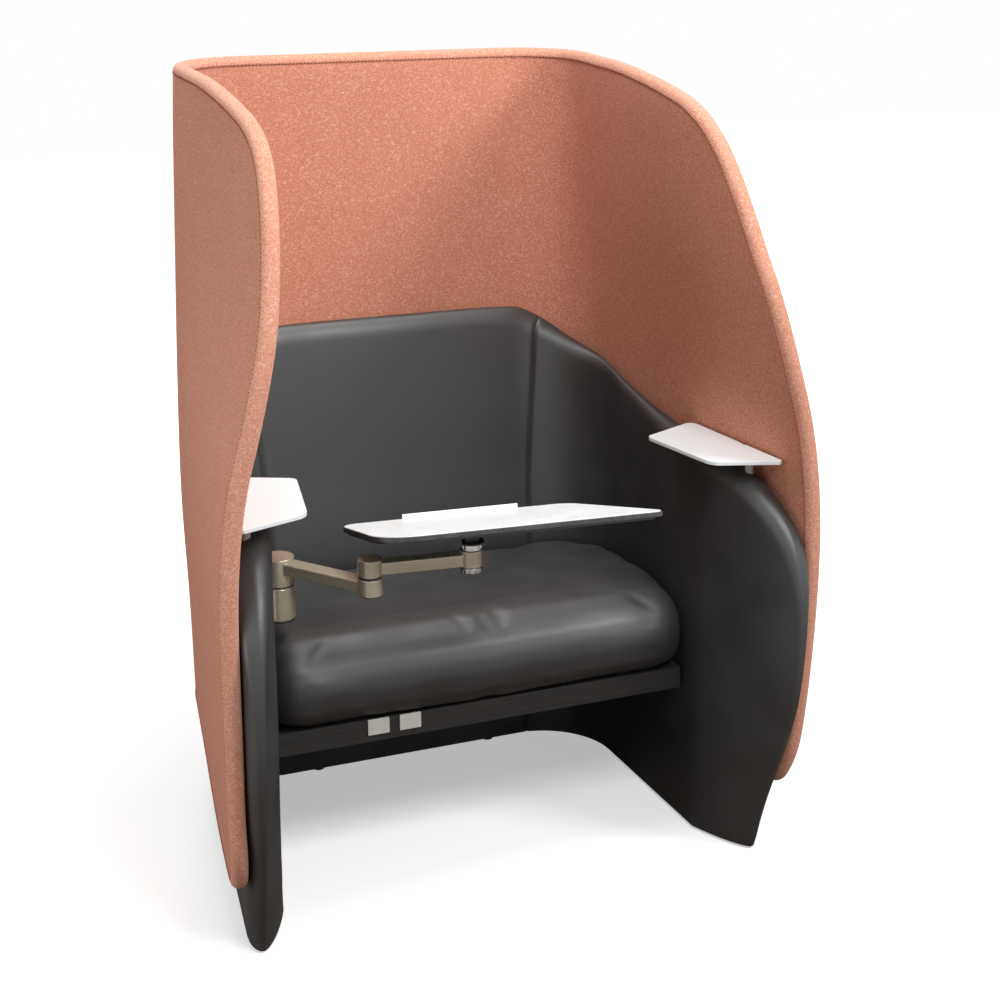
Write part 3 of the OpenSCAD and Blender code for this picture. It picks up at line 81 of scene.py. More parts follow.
class Profile:
    """A smooth curve through rows of place and value, flat beyond its ends."""

    def __init__(self, rows: Rows) -> None:
        """Store the rows and the slope at each of them.

        Args:
            rows: Pairs of place and value, in rising order of place.
        """
        self.places = np.array([row[0] for row in rows], float)
        self.values = np.array([row[1] for row in rows], float)
        low = np.maximum(np.arange(len(rows)) - 1, 0)
        high = np.minimum(np.arange(len(rows)) + 1, len(rows) - 1)
        self.slopes = (self.values[high] - self.values[low]) / (self.places[high] - self.places[low])

    def __call__(self, x: Array | float) -> Array:
        """Return the curve's value.

        Args:
            x: Place or places.

        Returns:
            Value at each place.
        """
        x = np.asarray(x, float)
        i = np.clip(np.searchsorted(self.places, x, side="right") - 1, 0, len(self.places) - 2)
        run = self.places[i + 1] - self.places[i]
        s = np.clip((x - self.places[i]) / run, 0, 1)
        ends = self.values[i] * (1 + 2 * s) * (1 - s) ** 2 + self.values[i + 1] * s * s * (3 - 2 * s)
        return ends + self.slopes[i] * run * s * (1 - s) ** 2 + self.slopes[i + 1] * run * s * s * (s - 1)


def mix(a: Array | float, b: Array | float, t: Array | float) -> Array:
    """Return the linear mix of a and b at t."""
    return a + (b - a) * t


def graded(low: float, high: float, steps: Sequence[float], count: int) -> Array:
    """Return places from low to high with extra ones close to both ends.

    Args:
        low: First place.
        high: Last place.
        steps: Distances of the extra places from each end.
        count: Number of even places between.

    Returns:
        Rising places.
    """
    inner = np.linspace(low + steps[-1], high - steps[-1], count)
    return np.unique(np.concatenate([[low], low + np.array(steps), inner, high - np.array(steps), [high]]))


@dataclass(frozen=True)
class ChairPlan:
    """The surfaces of screen and tub, in metres. Path stations run 0 to 1 along half of the back,
    1 to 2 round a corner and 2 to 3 along a side to the front; negative ones are on the left."""

    height: float = 1.350
    width: float = 1.026
    depth: float = 0.870
    corner_r: float = 0.140
    screen_t: float = 0.026
    felt_t: float = 0.0068
    band_r: float = 0.012
    tub_offset: float = 0.0268
    tub_back_h: float = 0.880
    tub_inner_half: float = 0.380
    tub_front_half: float = 0.390
    tub_inner_r: float = 0.140
    nose_start_y: float = 0.210
    nose_round_l: float = 0.060
    floor_gap: float = 0.005
    roll_h: float = 0.032
    tip_share: float = 0.74
    end_share: float = 0.99
    taper: float = 0.68
    seam: float = 1.08
    front_width: Profile = Profile([
        (0, 0.972), (0.1, 0.981), (0.185, 0.996), (0.3, 1), (0.41, 1), (0.47, 0.996), (0.54, 0.979),
        (0.603, 0.949), (0.66, 0.906), (0.77, 0.829), (0.85, 0.787), (0.9, 0.765), (0.95, 0.744), (1, 0.737)])
    front_reach: Profile = Profile([
        (0, 0.36), (0.1015, 0.392), (0.15, 0.424), (0.2, 0.436), (0.3, 0.449), (0.4, 0.453), (0.5, 0.45),
        (0.6, 0.444), (0.66, 0.4425), (1, 0.4425)])
    corner_width: Profile = Profile([
        (0, 0.834), (0.3, 0.834), (0.45, 0.838), (0.6, 0.823), (0.75, 0.799), (0.9, 0.772), (1, 0.75)])
    back_lean: Profile = Profile([(0, 0.376), (0.3, 0.386), (0.6, 0.421), (0.8, 0.457), (0.9912, 0.5)])
    screen_top: Profile = Profile([
        (0, 1), (1, 1), (2, 1), (2.12, 0.9985), (2.25, 0.9965), (2.37, 0.991), (2.487, 0.984), (2.56, 0.978),
        (2.634, 0.971), (2.73, 0.951), (2.797, 0.923), (2.847, 0.889), (2.89, 0.852), (2.924, 0.815),
        (2.964, 0.772), (2.988, 0.7185), (3, 0.659)])
    screen_foot: Profile = Profile([
        (0, 0.175), (1, 0.174), (2, 0.158), (2.25, 0.138), (2.46, 0.115), (2.66, 0.1), (2.86, 0.096), (3, 0.0985)])
    tub_back: Profile = Profile([(0, 0.303), (0.3, 0.293), (0.46, 0.288), (0.68, 0.313), (0.97, 0.347), (1, 0.35)])
    tub_top: Profile = Profile([
        (0, 1), (0.8, 0.9965), (1, 0.98), (1.5, 0.925), (2, 0.892), (2.09, 0.874), (2.322, 0.8375),
        (2.502, 0.82), (2.7, 0.803), (2.7855, 0.788), (2.853, 0.763), (2.909, 0.733), (2.954, 0.69),
        (2.9826, 0.627), (2.994, 0.568), (2.9985, 0.5), (3, 0.41)])
    tub_reach: Profile = Profile([
        (0, 0.362), (0.033, 0.372), (0.07, 0.381), (0.153, 0.407), (0.25, 0.442), (0.366, 0.474), (0.477, 0.486),
        (0.55, 0.487), (1, 0.487)])

    def front_y(self, z: Array) -> Array:
        """Return the depth of the screen's front edge at height z."""
        return -self.depth * self.front_reach(z / self.height)

    def back_y(self, z: Array) -> Array:
        """Return the depth of the screen's back at height z."""
        return self.depth * self.back_lean(z / self.height)

    def slant(self, z: Array) -> Array:
        """Return the angle by which the screen's sides splay, at height z."""
        wide = self.width / 2 * (self.front_width(z / self.height) - self.corner_width(z / self.height))
        return np.arctan2(wide, self.back_y(z) - self.corner_r - self.front_y(z))

    def outer(self, u: Array, z: Array, inset: Array | float, y_end: Array) -> tuple[Array, Array]:
        """Return the plan of the screen's right half.

        Args:
            u: Stations from 0 to 3.
            z: Heights.
            inset: Distance inwards from the outer face.
            y_end: Depth where the side ends.

        Returns:
            X and Y of each point.
        """
        corner_x = self.width / 2 * self.corner_width(z / self.height)
        cx, cy = corner_x - self.corner_r, self.back_y(z) - self.corner_r
        a = self.slant(z)
        r = self.corner_r - inset
        turn = mix(np.pi / 2, a, np.clip(u - 1, 0, 1))
        ay = cy + self.corner_r * np.sin(a)
        ax = cx + self.corner_r * np.cos(a)
        y = mix(cy + r * np.sin(a), y_end, u - 2)
        front_x = self.width / 2 * self.front_width(z / self.height)
        line = mix(ax, front_x, (ay - y - inset * np.sin(a)) / (ay - self.front_y(z)))
        x3 = line - inset * np.cos(a)
        x = np.where(u <= 1, u * cx, np.where(u <= 2, cx + r * np.cos(turn), x3))
        yy = np.where(u <= 1, self.back_y(z) - inset, np.where(u <= 2, cy + r * np.sin(turn), y))
        return x, yy

    def screen_point(self, u: Array, t: Array, inset: Array | float, edge: float) -> Array:
        """Return points of the screen.

        Args:
            u: Stations from -3 to 3.
            t: Shares of the height between foot and top.
            inset: Distance inwards from the outer face.
            edge: Distance back from the rim.

        Returns:
            Points, one row each.
        """
        s = np.abs(u)
        z = mix(self.height * self.screen_foot(s) + edge, self.height * self.screen_top(s) - edge, t)
        y_end = self.front_y(z) + edge + (self.screen_t / 2 - inset) * np.sin(self.slant(z))
        x, y = self.outer(s, z, inset, y_end)
        return np.stack([np.sign(u) * x, y, z], -1)

    def tub_front_y(self, z: Array) -> Array:
        """Return the depth of the tub's noses at height z."""
        return -self.depth * self.tub_reach(z / self.tub_back_h)

    def inner(self, u: Array, z: Array) -> tuple[Array, Array]:
        """Return X and Y of the tub's inner face at stations u and heights z."""
        back = self.depth * self.tub_back(z / self.tub_back_h)
        cx, cy = self.tub_inner_half - self.tub_inner_r, back - self.tub_inner_r
        turn = np.pi / 2 * (2 - u)
        x = np.where(u <= 1, u * cx, np.where(
            u <= 2, cx + self.tub_inner_r * np.cos(turn), mix(self.tub_inner_half, self.tub_front_half, u - 2)))
        y = np.where(u <= 1, back, np.where(
            u <= 2, cy + self.tub_inner_r * np.sin(turn), mix(cy, self.tub_front_y(z), u - 2)))
        return x, y

    def wall(self, u: Array, z: Array, d: Array) -> Array:
        """Return points of the tub's padded wall.

        Args:
            u: Stations from -3 to 3.
            z: Heights.
            d: Shares of the thickness, 0 on the inner face and 1 on the outer one.

        Returns:
            Points, one row each.
        """
        s = np.abs(u)
        px, py = self.inner(s, z)
        end = self.tub_front_y(z)
        qx, qy = self.outer(s, z, self.tub_offset, end)
        tx, ty = mix(px, qx, self.tip_share), mix(py, qy, self.tip_share)
        run_in = np.clip((-self.nose_start_y - py) / (-self.nose_start_y - end), 0, 1)
        run_out = np.clip(1 - (qy - end) / self.nose_round_l, 0, 1)
        w = np.where(d < self.tip_share, (1 - run_in * self.end_share) ** self.taper,
                     np.sqrt(1 - (run_out * self.end_share) ** 2))
        share = np.where(d < self.tip_share, d / self.tip_share, (d - self.tip_share) / (1 - self.tip_share))
        ex = np.where(d < self.tip_share, mix(px, tx, share), mix(tx, qx, share))
        ey = np.where(d < self.tip_share, mix(py, ty, share), mix(ty, qy, share))
        x = np.where(s <= 2, ex, mix(tx, ex, w))
        y = np.where(s <= 2, ey, mix(ty, ey, w))
        return np.stack([np.where(u < 0, -1, 1) * x, y, z + 0 * x], -1)


PLAN = ChairPlan()

# ---- mesh helpers ----


def linear(*values: float) -> Colour:
    """Return a linear colour from sRGB values between 0 and 255."""
    return tuple(((v / 255 + 0.055) / 1.055) ** 2.4 if v > 10 else v / 255 / 12.92 for v in values)


def new_object(name: str, mesh: bpy.types.Mesh) -> bpy.types.Object:
    """Link a new object for a mesh and return it."""
    obj = bpy.data.objects.new(name, mesh)
    bpy.context.scene.collection.objects.link(obj)
    return obj


def smooth_faces(mesh: bpy.types.Mesh, angle: float = 40) -> None:
    """Shade a mesh smooth, with sharp edges where it turns by more than an angle in degrees."""
    mesh.polygons.foreach_set("use_smooth", [True] * len(mesh.polygons))
    mesh.set_sharp_from_angle(angle=math.radians(angle))


def even_normals(obj: bpy.types.Object) -> bpy.types.Object:
    """Weight an object's normals by area, so that flat faces stay flat beside rounded edges."""
    modifier = obj.modifiers.new("even", "WEIGHTED_NORMAL")
    modifier.mode, modifier.keep_sharp = "FACE_AREA", True
    return obj


def mesh_object(name: str, points: Array, faces: Sequence[Sequence[int]], angle: float = 40) -> bpy.types.Object:
    """Make an object from points and faces, with its normals turned outwards.

    Args:
        name: Name of the piece.
        points: One row for each vertex.
        faces: Vertex numbers of each face.
        angle: Turn above which an edge stays sharp, in degrees.

    Returns:
        The new object.
    """
    mesh = bpy.data.meshes.new(name)
    mesh.from_pydata([tuple(p) for p in np.asarray(points, float)], [], [tuple(int(i) for i in f) for f in faces])
    bm = bmesh.new()
    bm.from_mesh(mesh)
    bmesh.ops.remove_doubles(bm, verts=bm.verts, dist=1e-6)
    bmesh.ops.recalc_face_normals(bm, faces=bm.faces)
    bm.to_mesh(mesh)
    bm.free()
    smooth_faces(mesh, angle)
    return new_object(name, mesh)


def grid_faces(rows: int, columns: int, close_columns: bool = False, close_rows: bool = False) -> list[list[int]]:
    """Return the four-sided faces of a grid of points.

    Args:
        rows: Number of rows.
        columns: Number of points in a row.
        close_columns: Join the last point of a row to its first.
        close_rows: Join the last row to the first.

    Returns:
        Vertex numbers of each face.
    """
    faces = []
    for i in range(rows if close_rows else rows - 1):
        for k in range(columns if close_columns else columns - 1):
            a, b = i * columns, (i + 1) % rows * columns
            faces.append([a + k, a + (k + 1) % columns, b + (k + 1) % columns, b + k])
    return faces


def sheet_faces(rows: int, columns: int) -> list[list[int]]:
    """Return the faces of a thin closed sheet: two grids of points, one after the other, joined round their rim.

    Args:
        rows: Number of rows of each grid.
        columns: Number of points in a row.

    Returns:
        Vertex numbers of each face.
    """
    count = rows * columns
    faces = grid_faces(rows, columns)
    faces += [[count + i for i in f[::-1]] for f in faces]
    rim = ([i * columns for i in range(rows)] + [(rows - 1) * columns + k for k in range(1, columns)]
           + [i * columns + columns - 1 for i in range(rows - 2, -1, -1)] + list(range(columns - 2, 0, -1)))
    pairs = list(zip(rim, rim[1:] + rim[:1]))
    return faces + [[a, b, count + b, count + a] for a, b in pairs]


def lathe(profile: Sequence[tuple[float, float]], steps: int = 64) -> tuple[Array, list[list[int]]]:
    """Turn a closed profile of radius and height round the Z axis.

    Args:
        profile: Radius and height of each point, round the section.
        steps: Number of steps round the axis.

    Returns:
        Points and faces.
    """
    angles = np.linspace(0, 2 * np.pi, steps, endpoint=False)
    points = [(r * math.cos(a), r * math.sin(a), z) for a in angles for r, z in profile]
    return np.array(points), grid_faces(steps, len(profile), close_columns=True, close_rows=True)


def rounded_disc(radius: float, low: float, high: float, edge: float, bore: float = 0.0,
                 steps: int = 64) -> tuple[Array, list[list[int]]]:
    """Return a disc or ring with rounded outer edges.

    Args:
        radius: Outer radius.
        low: Height of the underside.
        high: Height of the top.
        edge: Radius of the rounding.
        bore: Radius of the hole, or 0 for a full disc.
        steps: Number of steps round the axis.

    Returns:
        Points and faces.
    """
    quarter = [math.radians(a) for a in (0, 22.5, 45, 67.5, 90)]
    hub = max(bore, 1e-5)
    section = [(hub, low)]
    section += [(radius - edge + edge * math.sin(a), low + edge - edge * math.cos(a)) for a in quarter]
    section += [(radius - edge + edge * math.cos(a), high - edge + edge * math.sin(a)) for a in quarter]
    section += [(hub, high)]
    return lathe(section, steps)


def rounded_bar(length: float, width: float, low: float, high: float, edge: float) -> tuple[Array, list[list[int]]]:
    """Return a bar along +X from the origin whose long edges are rounded.

    Args:
        length: Length of the bar.
        width: Width across Y.
        low: Height of the underside.
        high: Height of the top.
        edge: Radius of the rounding.

    Returns:
        Points and faces.
    """
    section = []
    for cy, cz, start in ((width / 2 - edge, high - edge, 0), (edge - width / 2, high - edge, 90),
                          (edge - width / 2, low + edge, 180), (width / 2 - edge, low + edge, 270)):
        for a in np.radians(np.linspace(start, start + 90, 5)):
            section.append((cy + edge * math.cos(a), cz + edge * math.sin(a)))
    n = len(section)
    places = np.linspace(0, length, 9)
    points = [(x, y, z) for x in places for y, z in section]
    faces = grid_faces(len(places), n, close_columns=True)
    faces += [list(range(n)), [(len(places) - 1) * n + k for k in range(n)]]
    return np.array(points), faces


def merged(parts: Sequence[tuple[Array, list[list[int]]]]) -> tuple[Array, list[list[int]]]:
    """Join several sets of points and faces into one set."""
    points, faces, base = [], [], 0
    for part_points, part_faces in parts:
        points.append(np.asarray(part_points, float))
        faces += [[base + i for i in face] for face in part_faces]
        base += len(part_points)
    return np.vstack(points), faces


def placed(part: tuple[Array, list[list[int]]], origin: Sequence[float], turn: float = 0.0) -> tuple[
        Array, list[list[int]]]:
    """Turn a part about Z by degrees, then move it to an origin."""
    c, s = math.cos(math.radians(turn)), math.sin(math.radians(turn))
    spin = np.array([[c, s, 0], [-s, c, 0], [0, 0, 1]])
    return part[0] @ spin + np.array(origin), part[1]


def softened(node: str, name: str, width: float, segments: int = 3, angle: float = 30) -> bpy.types.Object:
    """Copy a CAD node's mesh and round its hard edges.

    Args:
        node: Name of the CAD node.
        name: Name of the new piece.
        width: Width of the rounding.
        segments: Steps of the rounding.
        angle: Turn above which an edge is rounded, in degrees.

    Returns:
        The new piece.
    """
    mesh = frame["nodes"][node].data.copy()
    mesh.name = name
    bm = bmesh.new()
    bm.from_mesh(mesh)
    bmesh.ops.remove_doubles(bm, verts=bm.verts, dist=2e-6)
    bmesh.ops.dissolve_limit(bm, angle_limit=math.radians(1), verts=bm.verts, edges=bm.edges)
    bm.normal_update()
    hard = [e for e in bm.edges if len(e.link_faces) == 2 and e.calc_face_angle() > math.radians(angle)]
    bmesh.ops.bevel(bm, geom=hard, offset=width, segments=segments, profile=0.5, affect="EDGES", clamp_overlap=True)
    bmesh.ops.recalc_face_normals(bm, faces=bm.faces)
    bm.to_mesh(mesh)
    bm.free()
    mesh.materials.clear()
    smooth_faces(mesh, 35)
    return even_normals(new_object(name, mesh))


def relax(mesh: bpy.types.Mesh, passes: int, keep: Callable[[bmesh.types.BMVert], bool] = lambda v: True) -> None:
    """Smooth a mesh's points towards their neighbours.

    Args:
        mesh: The mesh.
        passes: Number of times.
        keep: Tells whether a point takes part, asked again at each pass.
    """
    bm = bmesh.new()
    bm.from_mesh(mesh)
    for _ in range(passes):
        verts = [v for v in bm.verts if keep(v)]
        bmesh.ops.smooth_vert(bm, verts=verts, factor=0.5, use_axis_x=True, use_axis_y=True, use_axis_z=True)
    bm.to_mesh(mesh)
    bm.free()


def along(path: Array, spacing: float, closed: bool) -> tuple[Array, Array]:
    """Spread places evenly along a path.

    Args:
        path: Points of the path.
        spacing: Distance between places.
        closed: The path comes back to its start.

    Returns:
        Segment number and share of the segment for each place.
    """
    ends = np.vstack([path, path[:1]]) if closed else path
    lengths = np.linalg.norm(np.diff(ends, axis=0), axis=1)
    total = np.concatenate([[0], np.cumsum(lengths)])
    places = np.arange(spacing / 2, total[-1], spacing)
    i = np.clip(np.searchsorted(total, places, side="right") - 1, 0, len(lengths) - 1)
    return i, (places - total[i]) / np.maximum(lengths[i], 1e-9)


def stitches(name: str, path: Array, normals: Array, across: Array, spacing: float, length: float, slant: float,
             radius: float, closed: bool = False) -> bpy.types.Object:
    """Make a row of sewn stitches, each a short rounded thread that dips into the cover at its ends.

    Args:
        name: Name of the piece.
        path: Points along the seam.
        normals: Unit normal of the cover at each point.
        across: Unit direction across the seam at each point.
        spacing: Distance between stitches.
        length: Length of a stitch.
        slant: Share of the length that runs across the seam.
        radius: Radius of the thread.
        closed: The seam comes back to its start.

    Returns:
        The new piece.
    """
    i, t = along(path, spacing, closed)
    j = (i + 1) % len(path)
    centre = path[i] + (path[j] - path[i]) * t[:, None]
    run = path[j] - path[i]
    run /= np.linalg.norm(run, axis=1, keepdims=True)
    up = normals[i] + (normals[j] - normals[i]) * t[:, None]
    up /= np.linalg.norm(up, axis=1, keepdims=True)
    side = across[i] + (across[j] - across[i]) * t[:, None]
    side /= np.linalg.norm(side, axis=1, keepdims=True)
    line = run * math.sqrt(max(0.0, 1 - slant * slant)) + side * slant
    line /= np.linalg.norm(line, axis=1, keepdims=True)
    wide = np.cross(up, line)
    sections = ((-0.5, 0.35, -0.9), (-0.36, 0.85, -0.1), (0.0, 1.0, 0.35), (0.36, 0.85, -0.1), (0.5, 0.35, -0.9))
    ring = [math.radians(a) for a in (0, 60, 120, 180, 240, 300)]
    points = np.empty((len(centre), len(sections), len(ring), 3))
    for a, (place, size, lift) in enumerate(sections):
        middle = centre + line * (place * length) + up * (lift * radius)
        for b, angle in enumerate(ring):
            points[:, a, b] = middle + (wide * math.cos(angle) + up * math.sin(angle)) * (radius * size)
    per = len(sections) * len(ring)
    one = grid_faces(len(sections), len(ring), close_columns=True)
    one += [list(range(len(ring)))[::-1], [per - len(ring) + k for k in range(len(ring))]]
    one = np.array([f for f in one if len(f) == 4]), [f for f in one if len(f) != 4]
    faces = [list(f) for f in (one[0][None] + np.arange(len(centre))[:, None, None] * per).reshape(-1, 4)]
    faces += [[n * per + k for k in f] for n in range(len(centre)) for f in one[1]]
    mesh = bpy.data.meshes.new(name)
    mesh.from_pydata([tuple(p) for p in points.reshape(-1, 3)], [], faces)
    mesh.polygons.foreach_set("use_smooth", [True] * len(mesh.polygons))
    return new_object(name, mesh)


def finish_piece(obj: bpy.types.Object, material: bpy.types.Material, body: Body, slot: str,
                 *nodes: str) -> bpy.types.Object:
    """Give a piece its material and body, and hide the CAD nodes that it stands for.

    Args:
        obj: The piece.
        material: Its material.
        body: The body that it moves with.
        slot: Material slot of the record; not used.
        nodes: CAD nodes that it replaces.

    Returns:
        The same piece.
    """
    obj.data.materials.clear()
    obj.data.materials.append(material)
    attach(obj, body.value)
    if nodes:
        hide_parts(*nodes)
    return obj


# ---- shader groups ----


class Nodes:
    """A small helper that adds and joins shader nodes in one tree."""

    def __init__(self, tree: bpy.types.NodeTree) -> None:
        """Keep the tree that the nodes go into."""
        self.tree = tree

    def add(self, kind: str, **settings: object) -> bpy.types.Node:
        """Add a node and set its properties.

        Args:
            kind: Type name of the node.
            settings: Properties to set on it.

        Returns:
            The new node.
        """
        node = self.tree.nodes.new(kind)
        for key, value in settings.items():
            setattr(node, key, value)
        return node

    def link(self, source: bpy.types.NodeSocket, target: bpy.types.NodeSocket) -> None:
        """Join two sockets."""
        self.tree.links.new(source, target)

    def maths(self, operation: str, a: object, b: object = None, clamp: bool = False) -> bpy.types.NodeSocket:
        """Add a Math node.

        Args:
            operation: Name of the operation.
            a: First value or socket.
            b: Second value or socket.
            clamp: Keep the result between 0 and 1.

        Returns:
            Its output.
        """
        node = self.add("ShaderNodeMath", operation=operation, use_clamp=clamp)
        for i, value in enumerate((a, b)):
            if isinstance(value, bpy.types.NodeSocket):
                self.link(value, node.inputs[i])
            elif value is not None:
                node.inputs[i].default_value = value
        return node.outputs[0]

    def ramp(self, value: bpy.types.NodeSocket, low: float, high: float, to_low: float = 0.0,
             to_high: float = 1.0) -> bpy.types.NodeSocket:
        """Map a value smoothly from one range to another and return the output."""
        node = self.add("ShaderNodeMapRange", interpolation_type="SMOOTHSTEP")
        self.link(value, node.inputs["Value"])
        for key, number in (("From Min", low), ("From Max", high), ("To Min", to_low), ("To Max", to_high)):
            node.inputs[key].default_value = number
        return node.outputs["Result"]

    def noise(self, vector: bpy.types.NodeSocket, scale: float, detail: float = 2.0, rough: float = 0.5,
              distortion: float = 0.0) -> bpy.types.NodeSocket:
        """Add a Noise texture and return its value output."""
        node = self.add("ShaderNodeTexNoise")
        self.link(vector, node.inputs["Vector"])
        node.inputs["Scale"].default_value = scale
        node.inputs["Detail"].default_value = detail
        node.inputs["Roughness"].default_value = rough
        node.inputs["Distortion"].default_value = distortion
        return node.outputs[0]

    def colours(self, factor: bpy.types.NodeSocket, a: object, b: object,
                blend: str = "MIX") -> bpy.types.NodeSocket:
        """Mix two colours, each a socket or a colour, and return the output."""
        node = self.add("ShaderNodeMix", data_type="RGBA", blend_type=blend)
        self.link(factor, node.inputs[0])
        for value, target in ((a, node.inputs[6]), (b, node.inputs[7])):
            if isinstance(value, bpy.types.NodeSocket):
                self.link(value, target)
            else:
                target.default_value = (*value, 1)
        return node.outputs[2]


def shader_group(name: str, inputs: Sequence[tuple[str, str, object]], outputs: Sequence[tuple[str, str]],
                 build: Callable[[Nodes, dict, dict], None]) -> bpy.types.NodeTree:
    """Make a shader node group once and return it.

    Args:
        name: Name of the group.
        inputs: Name, socket type and default of each input.
        outputs: Name and socket type of each output.
        build: Fills the tree, given the helper and the sockets by name.

    Returns:
        The node group.
    """
    if name in bpy.data.node_groups:
        return bpy.data.node_groups[name]
    tree = bpy.data.node_groups.new(name, "ShaderNodeTree")
    for label, kind, default in inputs:
        socket = tree.interface.new_socket(label, in_out="INPUT", socket_type=kind)
        if default is not None:
            socket.default_value = default
    for label, kind in outputs:
        tree.interface.new_socket(label, in_out="OUTPUT", socket_type=kind)
    nodes = Nodes(tree)
    start, end = nodes.add("NodeGroupInput"), nodes.add("NodeGroupOutput")
    build(nodes, {s.name: s for s in start.outputs if s.name}, {s.name: s for s in end.inputs if s.name})
    return tree


def fibre_group() -> bpy.types.NodeTree:
    """Return the group for mixed wool fibres: a colour mask, a soft blotch and a height."""

    def build(n: Nodes, given: dict, out: dict) -> None:
        turn = n.add("ShaderNodeMapping")
        turn.inputs["Rotation"].default_value = (0.5, 0.62, 0.9)
        turn.inputs["Scale"].default_value = (1.0, 0.42, 1.0)
        n.link(given["Vector"], turn.inputs["Vector"])
        fine = n.add("ShaderNodeTexNoise")
        n.link(turn.outputs[0], fine.inputs["Vector"])
        n.link(given["Scale"], fine.inputs["Scale"])
        fine.inputs["Detail"].default_value = 3.0
        fine.inputs["Roughness"].default_value = 0.62
        cross = n.add("ShaderNodeMapping")
        cross.inputs["Rotation"].default_value = (-0.7, 0.3, -0.8)
        cross.inputs["Scale"].default_value = (0.5, 1.0, 0.8)
        n.link(given["Vector"], cross.inputs["Vector"])
        second = n.add("ShaderNodeTexNoise")
        n.link(cross.outputs[0], second.inputs["Vector"])
        n.link(n.maths("MULTIPLY", given["Scale"], 0.61), second.inputs["Scale"])
        second.inputs["Detail"].default_value = 2.0
        n.link(n.ramp(fine.outputs[0], 0.3, 0.72), out["Mask"])
        n.link(n.ramp(second.outputs[0], 0.5, 0.74), out["Fleck"])
        n.link(n.ramp(n.noise(given["Vector"], 14, 3), 0.3, 0.7), out["Blotch"])
        n.link(n.maths("ADD", n.maths("MULTIPLY", fine.outputs[0], 0.6),
                       n.maths("MULTIPLY", second.outputs[0], 0.4)), out["Height"])

    return shader_group("wool_fibres", [("Vector", "NodeSocketVector", None), ("Scale", "NodeSocketFloat", 900.0)],
                        [("Mask", "NodeSocketFloat"), ("Fleck", "NodeSocketFloat"), ("Blotch", "NodeSocketFloat"),
                         ("Height", "NodeSocketFloat")], build)


def hide_group() -> bpy.types.NodeTree:
    """Return the group for smooth leather: pores, a soft wave and a height."""

    def build(n: Nodes, given: dict, out: dict) -> None:
        cells = n.add("ShaderNodeTexVoronoi", feature="SMOOTH_F1")
        bend = n.add("ShaderNodeTexNoise")
        n.link(given["Vector"], bend.inputs["Vector"])
        bend.inputs["Scale"].default_value = 180.0
        shift = n.add("ShaderNodeVectorMath", operation="SCALE")
        n.link(bend.outputs["Color"], shift.inputs[0])
        shift.inputs["Scale"].default_value = 0.0016
        moved = n.add("ShaderNodeVectorMath", operation="ADD")
        n.link(given["Vector"], moved.inputs[0])
        n.link(shift.outputs[0], moved.inputs[1])
        n.link(moved.outputs[0], cells.inputs["Vector"])
        n.link(given["Scale"], cells.inputs["Scale"])
        cells.inputs["Smoothness"].default_value = 0.35
        fine = n.noise(given["Vector"], 2400, 2)
        wave = n.noise(given["Vector"], 9, 2)
        n.link(n.ramp(cells.outputs["Distance"], 0.25, 0.75), out["Pores"])
        n.link(n.ramp(wave, 0.3, 0.7), out["Wave"])
        n.link(n.maths("ADD", n.maths("MULTIPLY", cells.outputs["Distance"], -0.7),
                       n.maths("MULTIPLY", fine, 0.3)), out["Height"])

    return shader_group("hide_grain", [("Vector", "NodeSocketVector", None), ("Scale", "NodeSocketFloat", 820.0)],
                        [("Pores", "NodeSocketFloat"), ("Wave", "NodeSocketFloat"), ("Height", "NodeSocketFloat")],
                        build)


def wear_group() -> bpy.types.NodeTree:
    """Return the group for worn edges and fine surface unevenness of moulded and painted parts."""

    def build(n: Nodes, given: dict, out: dict) -> None:
        geometry = n.add("ShaderNodeNewGeometry")
        edge = n.ramp(geometry.outputs["Pointiness"], 0.51, 0.6)
        patch = n.ramp(n.noise(given["Vector"], 60, 4, 0.6), 0.35, 0.65)
        n.link(n.maths("MULTIPLY", n.maths("MULTIPLY", edge, patch), given["Amount"], True), out["Edge"])
        n.link(n.ramp(n.noise(given["Vector"], 35, 3), 0.3, 0.7), out["Smudge"])
        n.link(n.noise(given["Vector"], 1500, 2, 0.55), out["Height"])

    return shader_group("edge_wear", [("Vector", "NodeSocketVector", None), ("Amount", "NodeSocketFloat", 0.5)],
                        [("Edge", "NodeSocketFloat"), ("Smudge", "NodeSocketFloat"), ("Height", "NodeSocketFloat")],
                        build)


def dust_group() -> bpy.types.NodeTree:
    """Return the group for a trace of dust on faces that look up."""

    def build(n: Nodes, given: dict, out: dict) -> None:
        geometry = n.add("ShaderNodeNewGeometry")
        split = n.add("ShaderNodeSeparateXYZ")
        n.link(geometry.outputs["Normal"], split.inputs[0])
        up = n.ramp(split.outputs["Z"], 0.5, 1.0)
        grain = n.ramp(n.noise(given["Vector"], 320, 5, 0.7), 0.55, 0.8)
        n.link(n.maths("MULTIPLY", n.maths("MULTIPLY", up, grain), given["Amount"], True), out["Dust"])

    return shader_group("light_dust", [("Vector", "NodeSocketVector", None), ("Amount", "NodeSocketFloat", 0.1)],
                        [("Dust", "NodeSocketFloat")], build)


# ---- finishes ----


